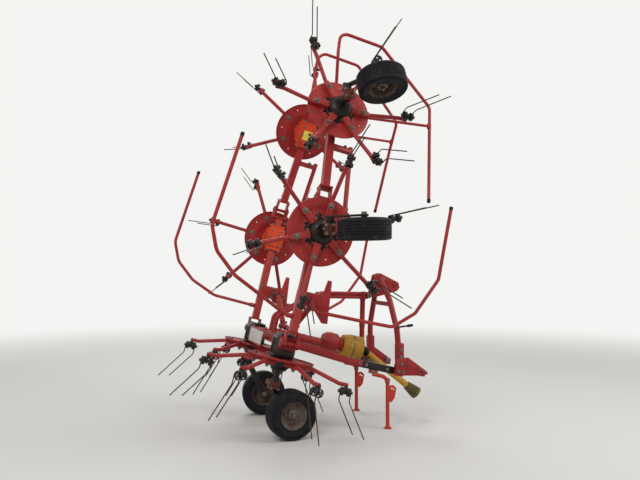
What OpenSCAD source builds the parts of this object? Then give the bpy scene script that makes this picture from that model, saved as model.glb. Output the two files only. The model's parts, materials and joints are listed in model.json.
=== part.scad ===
// Six-rotor hay tedder for a three-point hitch, parked with its wings folded up.
// World frame: +X is the travel direction, +Y is left, +Z is up, ground at z = 0.

/* [Stance] */
// Forward lean of the rotor frame, in degrees
frame_pitch = 13.6; // [10:0.2:16]
// Wheel contact behind the middle of the parked length
contact_back = 208; // [150:1:300]
// Fold angle of the inner wings as parked, in degrees
fold_rest = 90; // [80:1:90]
// Inward lean of the outer wings on the inner ones, in degrees
outer_lean = 22; // [10:1:24]

/* [Rotors] */
// Distance between neighbouring rotor axes
rotor_pitch = 1098; // [1060:2:1140]
// Radius of a rotor disc
disc_r = 274; // [240:2:300]
// Sheet thickness of a rotor disc
disc_t = 5; // [4:1:8]
// Disc below the beam axis
disc_drop = 139; // [130:1:160]
// Radius of the circle of tine holders
holder_r = 583; // [560:1:610]
// Tine holders below the disc
holder_drop = 147; // [120:1:170]
// Arms on each rotor
arm_count = 6; // [6:1:6]
// Radius of an arm tube
arm_r = 17; // [14:0.5:20]
// Radius of the tine wire
wire_r = 4.75; // [4:0.25:5.5]
// Outer radius of a tine coil
coil_r = 36; // [30:1:38]
// Tine tip outside its holder
tine_reach = 184; // [150:1:200]
// Tine tip below its holder
tine_drop = 340; // [300:1:345]

/* [Wheels] */
// Outer radius of a tyre
tyre_r = 205; // [195:1:215]
// Width of a tyre
tyre_w = 165; // [140:1:175]
// Radius of the rim seat
rim_r = 117; // [105:1:125]
// Wheel axle ahead of its stem
wheel_trail = 206; // [195:1:225]
// Wheel axle below the beam axis
axle_drop = 568; // [560:1:600]
// Radius of a wheel axle
axle_r = 15; // [12:1:18]
// Centre wheels turned inboard about their stems, in degrees
centre_swivel = 8.4; // [0:0.1:10]
// Wing wheels turned outboard about their stems, in degrees
wing_swivel = 14.3; // [0:0.1:16]

/* [Beams] */
// Side of the square wing beams
beam_w = 64; // [56:1:72]
// Side of the square cross beam
cross_w = 80; // [70:1:90]
// Main wing hinges from the centre line
hinge_y = 720; // [700:1:740]
// Outer hinge outboard of the inner wing rotor
outer_hinge_out = 287; // [270:1:310]
// Radius of a hinge pin
pin_r = 15; // [12:1:20]
// Thickness of a hinge plate
lug_t = 14; // [10:1:18]

/* [Guards] */
// Radius of a guard tube
guard_r = 14.5; // [12:0.5:18]
// Bend radius of the guard tubes
guard_bend = 140; // [80:5:180]

/* [Hitch] */
// Lower link pins from the centre line, to their shoulders
link_y = 412; // [400:1:430]
// Radius of a lower link pin
link_pin_r = 14; // [13:0.5:18]
// Radius of the top link hole
top_hole_r = 12.9; // [12.5:0.1:16]
// Stand legs from the centre line
stand_y = 397; // [380:1:410]
// Stand feet ahead of the wheel contact
stand_ahead = 914; // [880:1:940]
// Radius of a stand leg tube
stand_r = 17; // [14:1:22]
// Radius of the drive shaft guard tube
shaft_r = 30; // [26:1:34]
// Droop of the drive shaft below the frame, in degrees
shaft_droop = 25; // [20:1:28]

/* [Hidden] */
$fn = 48;

paint_red = [0.66, 0.13, 0.12];
paint_orange = [0.85, 0.28, 0.12];
grease_black = [0.10, 0.10, 0.11];
steel_dark = [0.20, 0.18, 0.17];
tyre_black = [0.09, 0.09, 0.10];
rim_grey = [0.42, 0.40, 0.37];
guard_ochre = [0.75, 0.58, 0.20];
board_pale = [0.78, 0.76, 0.74];
chrome = [0.80, 0.81, 0.83];

run_gap = 0.08;
knee_swell = 0.6;
bend_steps = 4;
tube_sides = 10;
tube_flat = cos(180 / tube_sides);
guard_stub = 60;
seat_gap = 0.3;

// Lowest point of a centre tyre below its axle; swivel and pitch together give it a small camber
tyre_shoulder = 22;
wheel_camber = asin(sin(centre_swivel) * sin(frame_pitch));
tyre_low = tyre_shoulder + (tyre_r - tyre_shoulder) * cos(wheel_camber)
    + (tyre_w / 2 - tyre_shoulder) * sin(wheel_camber);

// Beam axis of the frame above the ground and from the middle of the length
axle_ahead = wheel_trail * cos(centre_swivel);
frame_x = -contact_back - axle_ahead * cos(frame_pitch) + axle_drop * sin(frame_pitch);
frame_z = tyre_low + axle_ahead * sin(frame_pitch) + axle_drop * cos(frame_pitch);

// Rotor places along a wing, outboard from the main hinge
inner_out = 1.5 * rotor_pitch - hinge_y;
outer_hinge = inner_out + outer_hinge_out;
outer_out = rotor_pitch - outer_hinge_out;

hub_r = 112;
hub_h = 92;
stem_r = 24;
gear_r = 100;
gear_foot = 15;
gear_x = 84;
gear_y = 112;
gear_corner = 28;
gear_top = 50;
collar_t = 12;
arm_drop = 24;
arm_in = 60;
arm_knee = disc_r - 6;
arm_level = 62;
nut_at = 214;
holder_w = 22;
holder_rise = 56;
spool_r = 13;
coil_len = 38;
coil_turns = 3;
spool_end = 4;
holder_half = 22;
coil_z = -disc_drop - holder_drop;
clamp_z = -330;
arm_plate_t = 14;
hub_half = 46;
hinge_half = 67;
fork_gap = 3;
wheel_to_arm = tyre_w / 2 + 24;

rail_y = 330;
rail_w = 50;
rail_h = 70;
rail_knee = 682;
rail_front = 1100;
rail_top = -22;
rail_foot = -84;
member_x = 925;
member_w = 70;

tower_y = 70;
tower_top = [380, 0, 462];
post_top = [842, 0, 560];
post_foot = [958, 0, rail_top - 6];
post_y = 140;
post_r = 24;

leg_r = 26;
leg_top = [905, 60, 729];
leg_bend = [985, 190, 560];
leg_mid = [1057, 330, 309];
leg_foot = [1140, 360, 20];
lever_y = leg_mid[1] + leg_r + 13 + seat_gap;
lever_x = 1052;
lever_z = 335;
lever_r = 8;
lever_boss = 34;
head_y = 34;
top_hole = [1075, 712];
link_point = [1340, 0, -5];

input_front = 690;
drive_z = 60;
joint_x = 905;
shaft_len = 700;
yoke_r = 17.5;
yoke_len = 80;
bell_len = 130;

gusset_t = 10;

cyl_base = [150, 150, 103];
cyl_eye = [150, 383, 90];
eye_half = 15;
lug_gap = 3;
lug_w = 10;
lug_top = 24;
lug_foot = 46;
bracket_t = 10;
cyl_fork = eye_half + lug_gap + lug_w;
cyl_pin_r = 12;
barrel_r = 26;
rod_r = 13;

// Rotors from the right-hand end to the left: [section, side, first arm angle]
// section 0 is the centre frame, 1 an inner wing, 2 an outer wing; side is -1 right, 1 left
ROTORS = [[2, -1, 4], [1, -1, 24], [0, -1, 12], [0, 1, 44], [1, 1, 56], [2, 1, 34]];

module pitched() {
    translate([frame_x, 0, frame_z]) rotate([0, frame_pitch, 0]) children();
}

module sided(side) {
    mirror([0, side < 0 ? 1 : 0, 0]) children();
}

// Frame of one wing section, drawn as if it were spread to the left
module section(number, side) {
    pitched() sided(side)
        if (number == 0) {
            children();
        } else if (number == 1) {
            translate([0, hinge_y, 0]) rotate([fold_rest, 0, 0]) children();
        } else {
            translate([0, hinge_y, 0]) rotate([fold_rest, 0, 0])
                translate([0, outer_hinge, 0]) rotate([outer_lean, 0, 0]) children();
        }
}

function rotor_out(number) =
    number == 0 ? rotor_pitch / 2 : number == 1 ? inner_out : outer_out;

module at_rotor(number, side) {
    section(number, side) translate([0, rotor_out(number), 0]) children();
}

function unit(v) = v / norm(v);

// Turns the Z axis into the direction d
module along(d) {
    rotate([0, acos(d[2] / norm(d)), atan2(d[1], d[0])]) children();
}

// Straight round bar from a to b
module bar(a, b, r) {
    translate(a) along(b - a) cylinder(h = norm(b - a), r = r);
}

// Round bar bent sharply at its inner points, each with a swaged knee that is turned along the run before it
module knee_bar(points, r) {
    for (i = [1 : len(points) - 1]) {
        run = points[i] - points[i - 1];
        bar(points[i - 1], points[i], r);
        if (i < len(points) - 1)
            translate(points[i]) along(run) sphere(r = r + knee_swell);
    }
}

// Points round the bend at p, between the runs from a and to b
function bend_arc(a, p, b, bend) =
    let (
        u = unit(p - a),
        v = unit(b - p),
        turn = acos(u * v),
        w = unit(v - u * (u * v)),
        c = p - u * bend * tan(turn / 2) + w * bend
    )
    [for (k = [0 : bend_steps]) let (a = turn * k / bend_steps) c - w * bend * cos(a) + u * bend * sin(a)];

// Centre line of a tube that runs through points, with one bend radius
function tube_line(points, bend) =
    let (last = len(points) - 1)
    [
        points[0],
        for (i = [1 : 1 : last - 1]) each bend_arc(points[i - 1], points[i], points[i + 1], bend),
        points[last]
    ];

// Ring of corners round the centre line at station i; level is a direction that the line never takes
function tube_ring(line, i, r, level) =
    let (
        t = unit(line[min(i + 1, len(line) - 1)] - line[max(i - 1, 0)]),
        x = unit(cross(level, t)),
        y = cross(t, x)
    )
    [for (k = [0 : tube_sides - 1]) let (a = 360 * k / tube_sides) line[i] + r * (x * cos(a) + y * sin(a))];

// Bent round tube swept along its centre line
module bent_tube(points, r, bend, level = [0, 0, 1]) {
    line = tube_line(points, bend);
    n = tube_sides;
    rings = len(line);
    polyhedron(
        points = [for (i = [0 : rings - 1]) each tube_ring(line, i, r, level)],
        faces = [
            [for (k = [0 : n - 1]) k],
            [for (k = [n - 1 : -1 : 0]) (rings - 1) * n + k],
            for (i = [0 : rings - 2]) for (k = [0 : n - 1])
                each let (k2 = (k + 1) % n, near = i * n, far = near + n)
                    [[near + k2, near + k, far + k], [far + k2, near + k2, far + k]]
        ]
    );
}

// Box tube between two points in the XZ plane, at height h across and width w along Y
module box_bar(a, b, w, h) {
    d = b - a;
    translate(a) rotate([0, -atan2(d[2], d[0]), 0]) translate([0, -w / 2, -h / 2]) cube([norm(d), w, h]);
}

// Plate with one round end and a bore, drawn from the bore towards +Y, thick along X
module lug_plate(reach, half, t, bore) {
    rotate([90, 0, 90]) linear_extrude(height = t, center = true)
        difference() {
            union() {
                circle(r = half);
                translate([0, -half]) square([reach, 2 * half]);
            }
            circle(r = bore);
        }
}

// Hinge side that holds the pin: two outer plates and the pin itself
module pin_fork(reach, half) {
    for (x = [-1, 1])
        translate([x * hinge_half, 0, 0]) lug_plate(reach, half, lug_t, pin_r / 2);
    rotate([0, 90, 0]) cylinder(h = 2 * hinge_half + lug_t + 12, r = pin_r, center = true);
}

// Hinge side that turns on the pin: two inner plates with running bores
module bore_fork(reach, half) {
    for (x = [-1, 1])
        translate([x * (hinge_half - lug_t - fork_gap), 0, 0])
            lug_plate(reach, half, lug_t, pin_r + run_gap);
}

beam_end = outer_out + 260;
hinge_reach = 72;
hinge_plate_low = 66;
lug_half = 34;
wing_root = 96;
plate_t = 12;
plate_at = hinge_y - hinge_reach - plate_t;

// Outline of the cylinder bracket on an inner beam: forward of the beam axis, outboard of the eye
WING_BRACKET = [
    [-beam_w / 2, -60], [130, -60], [232, -165], [282, -160],
    [240, 190], [206, 190], [186, 60], [-beam_w / 2, 60]
];

// Fold link of an outer wing, ahead of its beam, with its lower eye free in a fork on the inner beam
link_x = 193;
link_r = 20;
link_t = 10;
link_top = 560;
link_reach = 99;
link_half = 50;
link_base = 38;
link_fork = link_r + 4 + link_t;

module cross_beam() {
    color(paint_red) pitched() {
        for (side = [-1, 1])
            sided(side) {
                translate([0, hinge_y, 0]) mirror([0, 1, 0]) pin_fork(hinge_reach, lug_half);
                translate([-hinge_half - lug_t / 2, plate_at, 8 - hinge_plate_low])
                    cube([2 * hinge_half + lug_t, plate_t, 108]);
                translate([-cross_w / 2, cyl_base[1] - lug_foot, cross_w / 2])
                    cube([cross_w / 2 + cyl_base[0] + cyl_fork, 2 * lug_foot, bracket_t]);
                translate([cyl_base[0], 0, 0]) {
                    cylinder_lugs(cyl_base[1], cyl_base[2], cross_w / 2 + bracket_t);
                    translate([0, cyl_base[1], cyl_base[2]]) rotate([0, 90, 0])
                        cylinder(h = 2 * cyl_fork, r = cyl_pin_r, center = true);
                }
            }
        translate([-cross_w / 2, -hinge_y + hinge_reach + 6, -cross_w / 2])
            cube([cross_w, 2 * (hinge_y - hinge_reach - 6), cross_w]);
    }
}

// Pair of plates across X that carry a cylinder pin at height z over a face at height base
module cylinder_lugs(y, z, base) {
    for (x = [-1, 1])
        translate([x * (eye_half + lug_gap + lug_w / 2), y, 0]) rotate([90, 0, 90])
            linear_extrude(height = lug_w, center = true) difference() {
                union() {
                    translate([0, z]) circle(r = lug_top);
                    polygon([[-lug_top, z], [lug_top, z], [lug_foot, base], [-lug_foot, base]]);
                }
                translate([0, z]) circle(r = cyl_pin_r / 2);
            }
}

module side_rails() {
    color(paint_red) pitched()
        for (side = [-1, 1])
            translate([0, side * rail_y, 0]) rotate([90, 0, 0]) linear_extrude(height = rail_w, center = true)
                polygon([
                    [cross_w / 2, rail_h / 2 - 2], [rail_knee, rail_top], [rail_front, rail_top],
                    [rail_front, rail_foot], [rail_knee, rail_foot], [cross_w / 2, -rail_h / 2 - 2]
                ]);
    color(grease_black) pitched()
        translate([member_x, -rail_y + rail_w / 2, rail_foot])
            cube([member_w, 2 * rail_y - rail_w, rail_top - rail_foot - 6]);
}

module tower() {
    color(paint_red) pitched() {
        for (side = [-1, 1])
            translate([0, side * tower_y, 0])
                bent_tube([
                    [16, 0, cross_w / 2], [16, 0, 190], [330, 0, 440], tower_top + [60, 0, 16]
                ], 18, 60, [0, 1, 0]);
        translate(tower_top) rotate([90, 0, 0]) cylinder(h = 2 * tower_y + 40, r = 26, center = true);
        box_bar(tower_top, post_top, 44, 66);
        translate([post_top[0], -40, post_top[2]]) rotate([-90, 0, 0]) cylinder(h = post_y + 66, r = post_r);
        bar([post_top[0], post_y, post_top[2]], [post_foot[0], post_y, post_foot[2] + 24], post_r);
        translate([post_foot[0] - 26, post_y - 26, post_foot[2]]) cube([52, 52, 44]);
    }
}

// Bent tube of one headstock leg, or the room for it where grow is the gap round it
module headstock_tube(grow = 0) {
    bent_tube([leg_top, leg_bend, leg_mid, leg_foot], leg_r + grow, 200, [0, 1, 0]);
}

// Head of the headstock: two plates with the top link hole, their blocks, and the crossbar
module headstock() {
    color(paint_red) pitched()
        difference() {
            union() {
                for (side = [-1, 1])
                    sided(side) translate([0, head_y, 0]) rotate([90, 0, 0])
                        linear_extrude(height = 12, center = true) difference() {
                            polygon([[850, 560], [905, 560], [1100, 660], [1122, 700],
                                     [1100, 745], [900, 790], [850, 760]]);
                            translate(top_hole) circle(r = top_hole_r);
                            translate([post_top[0], post_top[2]]) circle(r = post_r + seat_gap);
                        }
                translate([860, -head_y, 600]) cube([30, 2 * head_y, 150]);
                translate([900, -60, 715]) cube([24, 120, 30]);
                bar([1000, -200, 520], [1000, 200, 520], 20);
            }
            for (side = [-1, 1])
                sided(side) headstock_tube(seat_gap);
        }
}

module headstock_leg(side) {
    color(paint_red) pitched() {
        sided(side) {
            headstock_tube();
            translate([leg_foot[0] - 36, leg_foot[1] - 32, rail_top]) cube([72, 58, 60]);
            translate([0, leg_foot[1] - 4, 0])
                box_bar(leg_foot + [-6, -leg_foot[1], 20], leg_foot + [-44, -leg_foot[1], 176], 62, 68);
        }
        if (side < 0)
            translate([lever_x, -lever_y + lever_r + seat_gap, lever_z]) rotate([-90, 0, 0])
                cylinder(h = lever_boss, r = 10);
    }
}

module lower_hitch() {
    color(paint_red) pitched()
        for (side = [-1, 1])
            sided(side) {
                translate([0, link_y - 14, 0]) rotate([90, 0, 0]) linear_extrude(height = 16, center = true)
                    polygon([[1085, 60], [1190, 90], [1385, 10], [1385, -45], [1310, -50], [1100, -90]]);
                translate([link_point[0], link_y - 30, link_point[2]]) rotate([-90, 0, 0])
                    cylinder(h = 130, r = link_pin_r);
                translate([rail_front, rail_y - rail_w / 2, rail_foot])
                    cube([80, link_y - 10 - rail_y + rail_w / 2, rail_top - rail_foot]);
            }
}

module stand_legs() {
    color(paint_orange)
        for (side = [-1, 1])
            sided(side) {
                translate([stand_ahead - contact_back, stand_y, 0]) {
                    cylinder(h = 10, r = 36);
                    bent_tube([[0, 0, 4], [0, 0, 448], [-130, -30, 478]], stand_r, 70, [0, 1, 0]);
                    rotate([90, 0, 0]) linear_extrude(height = gusset_t, center = true) difference() {
                        polygon([[10, 372], [50, 380], [84, 352], [66, 262], [34, 226], [10, 236]]);
                        for (hole = [[40, 350], [58, 340]])
                            translate(hole) circle(r = 8);
                    }
                }
                pitched() translate([880, rail_y - 20, rail_foot - 34]) cube([70, 60, 34]);
            }
}

module input_gearbox() {
    color(paint_red) pitched() {
        translate([cross_w / 2, 0, drive_z - 20]) rotate([0, 90, 0]) cylinder(h = 480, r = 38);
        translate([500, 0, drive_z]) rotate([0, 90, 0])
            rotate_extrude() polygon([[0, 0], [70, 0], [88, 30], [88, 130], [62, 160], [62, 190], [0, 190]]);
    }
}

module pto_guard() {
    color(guard_ochre) pitched() translate([input_front, 0, drive_z]) rotate([0, 90, 0])
        rotate_extrude() polygon([
            [56, 0], [92, 0], [108, 60], [108, 190], [104, 190], [104, 62], [88, 6], [56, 6]
        ]);
}

// Frame of the drive shaft's drooping tube, with Z along it from its joint
module at_shaft() {
    pitched() translate([joint_x, 0, drive_z]) rotate([0, 90 + shaft_droop, 0]) children();
}

module pto_shaft() {
    color(guard_ochre) {
        pitched() translate([input_front, 0, drive_z]) rotate([0, 90, 0]) {
            cylinder(h = joint_x - input_front, r = 26);
            translate([0, 0, joint_x - input_front]) sphere(r = 40);
        }
        at_shaft() rotate_extrude() polygon([
            [0, 0], [26, 0], [shaft_r, 60], [shaft_r, shaft_len - bell_len], [0, shaft_len - bell_len]
        ]);
    }
}

// Flared end of the drive shaft's guard, with the yoke's bore
module pto_yoke() {
    color(guard_ochre) at_shaft() rotate_extrude() polygon([
        [0, shaft_len - bell_len], [shaft_r, shaft_len - bell_len], [40, shaft_len - bell_len + 10],
        [60, shaft_len - 10], [60, shaft_len], [yoke_r, shaft_len], [yoke_r, shaft_len - yoke_len],
        [0, shaft_len - yoke_len]
    ]);
}

// Gearbox: round flange over the disc, cast body with cut corners, lid, and a collar at each given end
module gearbox_body(ends) {
    base = -disc_drop + 12;
    translate([0, 0, base]) cylinder(h = gear_foot + 1, r = gear_r);
    translate([0, 0, base + gear_foot]) linear_extrude(height = gear_top - base - gear_foot)
        polygon([for (c = [[-1, -1], [1, -1], [1, 1], [-1, 1]]) each gear_corner_points(c)]);
    translate([-gear_x + 22, -gear_y + 26, gear_top - 1])
        cube([2 * (gear_x - 22), 2 * (gear_y - 26), 15]);
    for (end = ends)
        translate([-gear_x + 14, end * (gear_y + collar_t / 2 - 1) - collar_t / 2, -52])
            cube([2 * (gear_x - 14), collar_t, 104]);
}

// Two points of a cut corner, in order round the outline
function gear_corner_points(c) =
    let (
        along = [c[0] * (gear_x - gear_corner), c[1] * gear_y],
        across = [c[0] * gear_x, c[1] * (gear_y - gear_corner)]
    )
    c[0] == c[1] ? [across, along] : [along, across];

// Stem below a rotor with its cranked wheel arm and axle, turned about the stem; toward is the arm's side
module wheel_stem(swivel, toward) {
    arm_y = toward * wheel_to_arm;
    bar([0, 0, -disc_drop + 12], [0, 0, clamp_z], stem_r);
    rotate([0, 0, swivel]) {
        translate([-34, min(-30, arm_y - arm_plate_t / 2), clamp_z - 40])
            cube([68, abs(arm_y) + 30 + arm_plate_t / 2, 46]);
        translate([0, arm_y, 0]) rotate([90, 0, 0]) linear_extrude(height = arm_plate_t, center = true) {
            polygon([
                [-34, clamp_z + 6], [34, clamp_z + 6],
                [wheel_trail + 24, -axle_drop + 24], [wheel_trail - 24, -axle_drop - 24]
            ]);
            translate([wheel_trail, -axle_drop]) circle(r = 34);
        }
        translate([wheel_trail, arm_y, -axle_drop]) rotate([toward * 90, 0, 0]) {
            cylinder(h = wheel_to_arm - hub_half - seat_gap, r = 24);
            cylinder(h = wheel_to_arm + hub_half + 6, r = axle_r);
        }
    }
}

// Gearboxes of the centre frame, clamped round the cross beam up to its hinge plates
module centre_gearboxes() {
    color(grease_black)
        for (side = [-1, 1])
            at_rotor(0, side) difference() {
                gearbox_body([-1]);
                beam_slot(cross_w);
                translate([-2 * gear_x, plate_at - seat_gap - rotor_pitch / 2, -hinge_plate_low])
                    cube([4 * gear_x, gear_y, 4 * gear_x]);
            }
}

// Room for a square beam of the given width through a gearbox
module beam_slot(width) {
    room = width + 2 * seat_gap;
    cube([room, 4 * gear_y, room], center = true);
}

module centre_stems() {
    color(grease_black)
        for (side = [-1, 1])
            at_rotor(0, side) wheel_stem(-centre_swivel, -1);
}

module rear_board() {
    color(board_pale) pitched() translate([-126, -250, -95]) cube([6, 500, 140]);
    color(paint_red) pitched()
        for (y = [-150, 150])
            translate([-120, y - 20, -20]) cube([120 - cross_w / 2, 40, 12]);
}

module control_lever() {
    color(grease_black) pitched() {
        bar([lever_x - 12, -lever_y, lever_z - 4], [1176, -lever_y, 378], lever_r);
        bar([1130, -lever_y, 362], [1180, -lever_y, 379.5], 13);
    }
}

module inner_beam(side) {
    color(paint_red) section(1, side) {
        bore_fork(wing_root, lug_half);
        translate([-hinge_half + 10, wing_root - 2, -50]) cube([2 * (hinge_half - 10), plate_t, 100]);
        translate([-beam_w / 2, wing_root, -beam_w / 2])
            cube([beam_w, outer_hinge - wing_root - hinge_reach - 6, beam_w]);
        translate([-hinge_half - lug_t / 2, outer_hinge - hinge_reach - plate_t, -46])
            cube([2 * hinge_half + lug_t, plate_t, 92]);
        translate([0, outer_hinge, 0]) mirror([0, 1, 0]) pin_fork(hinge_reach, lug_half);
        translate([0, 0, beam_w / 2]) linear_extrude(height = bracket_t)
            polygon([for (p = WING_BRACKET) [p[0], cyl_eye[1] + p[1]]]);
        translate([cyl_eye[0], 0, 0]) {
            cylinder_lugs(cyl_eye[1], cyl_eye[2], beam_w / 2 + bracket_t);
            for (x = [-1, 1])
                translate([x * (cyl_fork + 4), cyl_eye[1], cyl_eye[2]]) rotate([0, 90, 0])
                    cylinder(h = 8, r = cyl_pin_r + 6, center = true);
        }
        translate([beam_w / 2 - 1, outer_hinge - link_reach - link_base, -link_half])
            cube([link_x + link_fork - beam_w / 2, link_t, 2 * link_half]);
        for (x = [link_x - link_fork, link_x + link_fork - link_t])
            translate([x, outer_hinge - link_reach - link_base, -link_half])
                cube([link_t, link_base + 30, 2 * link_half]);
    }
}

module outer_beam(side) {
    color(paint_red) section(2, side) {
        bore_fork(wing_root, lug_half);
        translate([-hinge_half + 10, wing_root - 2, -46]) cube([2 * (hinge_half - 10), plate_t, 92]);
        translate([-beam_w / 2, wing_root, -beam_w / 2]) cube([beam_w, beam_end - wing_root, beam_w]);
        bar([link_x, -link_reach + 12, 0], [link_x, link_top, 0], link_r);
        translate([link_x, -link_reach, 0]) rotate([0, 90, 0])
            cylinder(h = 2 * link_r - 4, r = link_r + 4, center = true);
        translate([beam_w / 2 - 1, link_top - 60, -24]) cube([link_x - beam_w / 2, 40, 48]);
    }
}

module wing_gearbox(number, side) {
    color(paint_orange) at_rotor(number, side) difference() {
        gearbox_body([-1, 1]);
        beam_slot(beam_w);
    }
}

module wing_stem(number, side) {
    color(grease_black) at_rotor(number, side) wheel_stem(wing_swivel, 1);
}

// Guard tubes of an inner wing; the left rear one is set lower and further out in its clamp
module inner_guards(side) {
    slide = side > 0 ? [-70, -95, 0] : [0, 0, 0];
    rear_foot = [-beam_w / 2 - seat_gap, 225, -6];
    rear = [[-360, 330, -150], [-600, 430, -200], [-780, 580, -200], [-860, 760, -200], [-800, 1500, -200]];
    color(paint_red) section(1, side) {
        bent_tube([rear_foot, rear_foot - [guard_stub, 0, 0], each [for (p = rear) p + slide]],
            guard_r, guard_bend);
        bent_tube([
            [110, 410, beam_w / 2 - guard_r * tube_flat - seat_gap], [110, 300, 12], [510, 310, -150],
            [750, 320, -200], [920, 470, -200], [1062, 785, -200], [1040, 1400, -200]
        ], guard_r, 75);
    }
}

module outer_guard(side) {
    color(paint_red) section(2, side) {
        bent_tube([
            [0, beam_end, -6], [0, beam_end + 80, -6], [-75, 1400, -180], [-80, 1595, -205],
            [330, 1590, -205], [885, 1180, -105], [905, 900, -80], [960, 250, -5]
        ], guard_r, 80);
        strut_foot = [gear_x + seat_gap, outer_out + 78, -6];
        bent_tube([strut_foot, strut_foot + [guard_stub, 0, 0], [895, 985, -88]], guard_r - 2, 60);
    }
}

// Arm tube under the disc with its two knees, its clamping bolt, and the plate and spool of the tine coils
module arm() {
    end_z = coil_z + holder_rise;
    knee = [arm_knee, 0, -disc_drop - arm_drop];
    level = [holder_r - arm_level, 0, end_z];
    knee_bar([[arm_in, 0, knee[2]], knee, level, [holder_r + holder_w / 2, 0, end_z]], arm_r);
    translate([nut_at, 0, knee[2] - arm_r - 8]) cylinder(h = arm_drop + arm_r + 16, r = 13);
    translate([holder_r, 0, coil_z]) rotate([90, 0, 90]) {
        linear_extrude(height = holder_w, center = true) {
            circle(r = holder_half);
            translate([-holder_half, 0]) square([2 * holder_half, holder_rise]);
        }
        cylinder(h = 2 * (coil_len + spool_end) + holder_w, r = spool_r, center = true);
    }
}

module rotor(index) {
    spec = ROTORS[index];
    color(paint_red) at_rotor(spec[0], spec[1]) difference() {
        union() {
            rotate_extrude() polygon([
                [0, -disc_drop + disc_t], [disc_r, -disc_drop + disc_t], [disc_r, -disc_drop + 14],
                [disc_r + disc_t, -disc_drop + 14], [disc_r + disc_t, -disc_drop], [hub_r, -disc_drop],
                [hub_r - 8, -disc_drop - 52], [62, -disc_drop - hub_h], [0, -disc_drop - hub_h]
            ]);
            for (k = [0 : arm_count - 1])
                rotate([0, 0, spec[2] + k * 360 / arm_count]) arm();
        }
        cylinder(h = 800, r = stem_r + run_gap, center = true);
    }
}

module tine(at, short) {
    r = holder_r + at;
    s = short ? 0.94 : 1;
    mid = coil_r - wire_r;
    knee_bar([[r, mid - 2, 0], [r, mid, -70], [r + tine_reach * s, mid + 14, -tine_drop * s]], wire_r);
}

module coil(at) {
    translate([holder_r + at, 0, 0]) rotate([0, 90, 0]) rotate_extrude() {
        translate([coil_r - 2 * wire_r - 1, -coil_len / 2]) square([wire_r + 2, coil_len]);
        for (k = [0 : coil_turns - 1])
            translate([coil_r - wire_r, (k - (coil_turns - 1) / 2) * 2.2 * wire_r]) circle(r = wire_r);
    }
}

module tines(index) {
    spec = ROTORS[index];
    color(steel_dark) at_rotor(spec[0], spec[1])
        for (k = [0 : arm_count - 1])
            rotate([0, 0, spec[2] + k * 360 / arm_count])
                translate([0, 0, coil_z])
                    for (end = [-1, 1]) {
                        coil(end * (holder_w + coil_len) / 2);
                        tine(end * (holder_w / 2 + coil_len - wire_r), end < 0);
                    }
}

function wheel_swivel(number) = number == 0 ? -centre_swivel : wing_swivel;

module at_wheel(index) {
    spec = ROTORS[index];
    at_rotor(spec[0], spec[1]) rotate([0, 0, wheel_swivel(spec[0])])
        translate([wheel_trail, 0, -axle_drop]) rotate([90, 0, 0]) children();
}

module tyre(index) {
    shoulder = tyre_shoulder;
    half = tyre_w / 2;
    color(tyre_black) at_wheel(index) rotate_extrude() difference() {
        union() {
            translate([rim_r, -half + 12]) square([tyre_r - rim_r - shoulder, tyre_w - 24]);
            translate([rim_r, -half + shoulder]) square([tyre_r - rim_r, tyre_w - 2 * shoulder]);
            for (end = [-1, 1]) {
                translate([tyre_r - shoulder, end * (half - shoulder)]) circle(r = shoulder);
                translate([rim_r + 45, end * (half - 38)]) circle(r = 38);
            }
        }
        for (k = [-2 : 2])
            translate([tyre_r - 5, k * 24 - 2.5]) square([10, 5]);
    }
}

module rim(index) {
    half = 66;
    color(rim_grey) at_wheel(index) rotate_extrude() polygon([
        [rim_r - seat_gap, -half], [rim_r - seat_gap, half], [rim_r - 5, half], [rim_r - 14, half - 14],
        [rim_r - 18, -6], [60, -12], [44, 6], [44, hub_half], [axle_r + run_gap, hub_half],
        [axle_r + run_gap, -hub_half], [44, -hub_half], [44, -20], [60, -22],
        [rim_r - 14, -16], [rim_r - 8, -half]
    ]);
}

// Fold cylinder as parked, from its base pin on the cross beam to its eye on the inner wing
fold_eye = [cyl_eye[0], hinge_y - cyl_eye[2], cyl_eye[1]];
cyl_run = fold_eye - cyl_base;
cyl_len = norm(cyl_run);
cyl_tilt = atan2(cyl_run[2], cyl_run[1]);
barrel_len = cyl_len - 50;

module at_cylinder(side) {
    pitched() sided(side) translate(cyl_base) rotate([cyl_tilt, 0, 0]) children();
}

module fold_barrel(side) {
    color(paint_red) at_cylinder(side) difference() {
        union() {
            rotate([0, 90, 0]) cylinder(h = 2 * eye_half, r = 24, center = true);
            rotate([-90, 0, 0]) cylinder(h = barrel_len, r = barrel_r);
        }
        for (x = [-1, 1])
            translate([x * (eye_half + 20), 0, 0]) cube([40, 2 * lug_foot + 12, 80], center = true);
        rotate([0, 90, 0]) cylinder(h = 80, r = cyl_pin_r + run_gap, center = true);
        translate([0, 44, 0]) rotate([-90, 0, 0]) cylinder(h = barrel_len, r = rod_r + run_gap);
    }
}

module fold_rod(side) {
    color(chrome) at_cylinder(side) {
        translate([0, 52, 0]) rotate([-90, 0, 0]) cylinder(h = cyl_len - 52 - 12, r = rod_r);
        translate([0, cyl_len, 0]) rotate([0, 90, 0]) {
            cylinder(h = 2 * eye_half - 2, r = 22, center = true);
            cylinder(h = 2 * eye_half + 3, r = cyl_pin_r, center = true);
        }
    }
}

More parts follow.
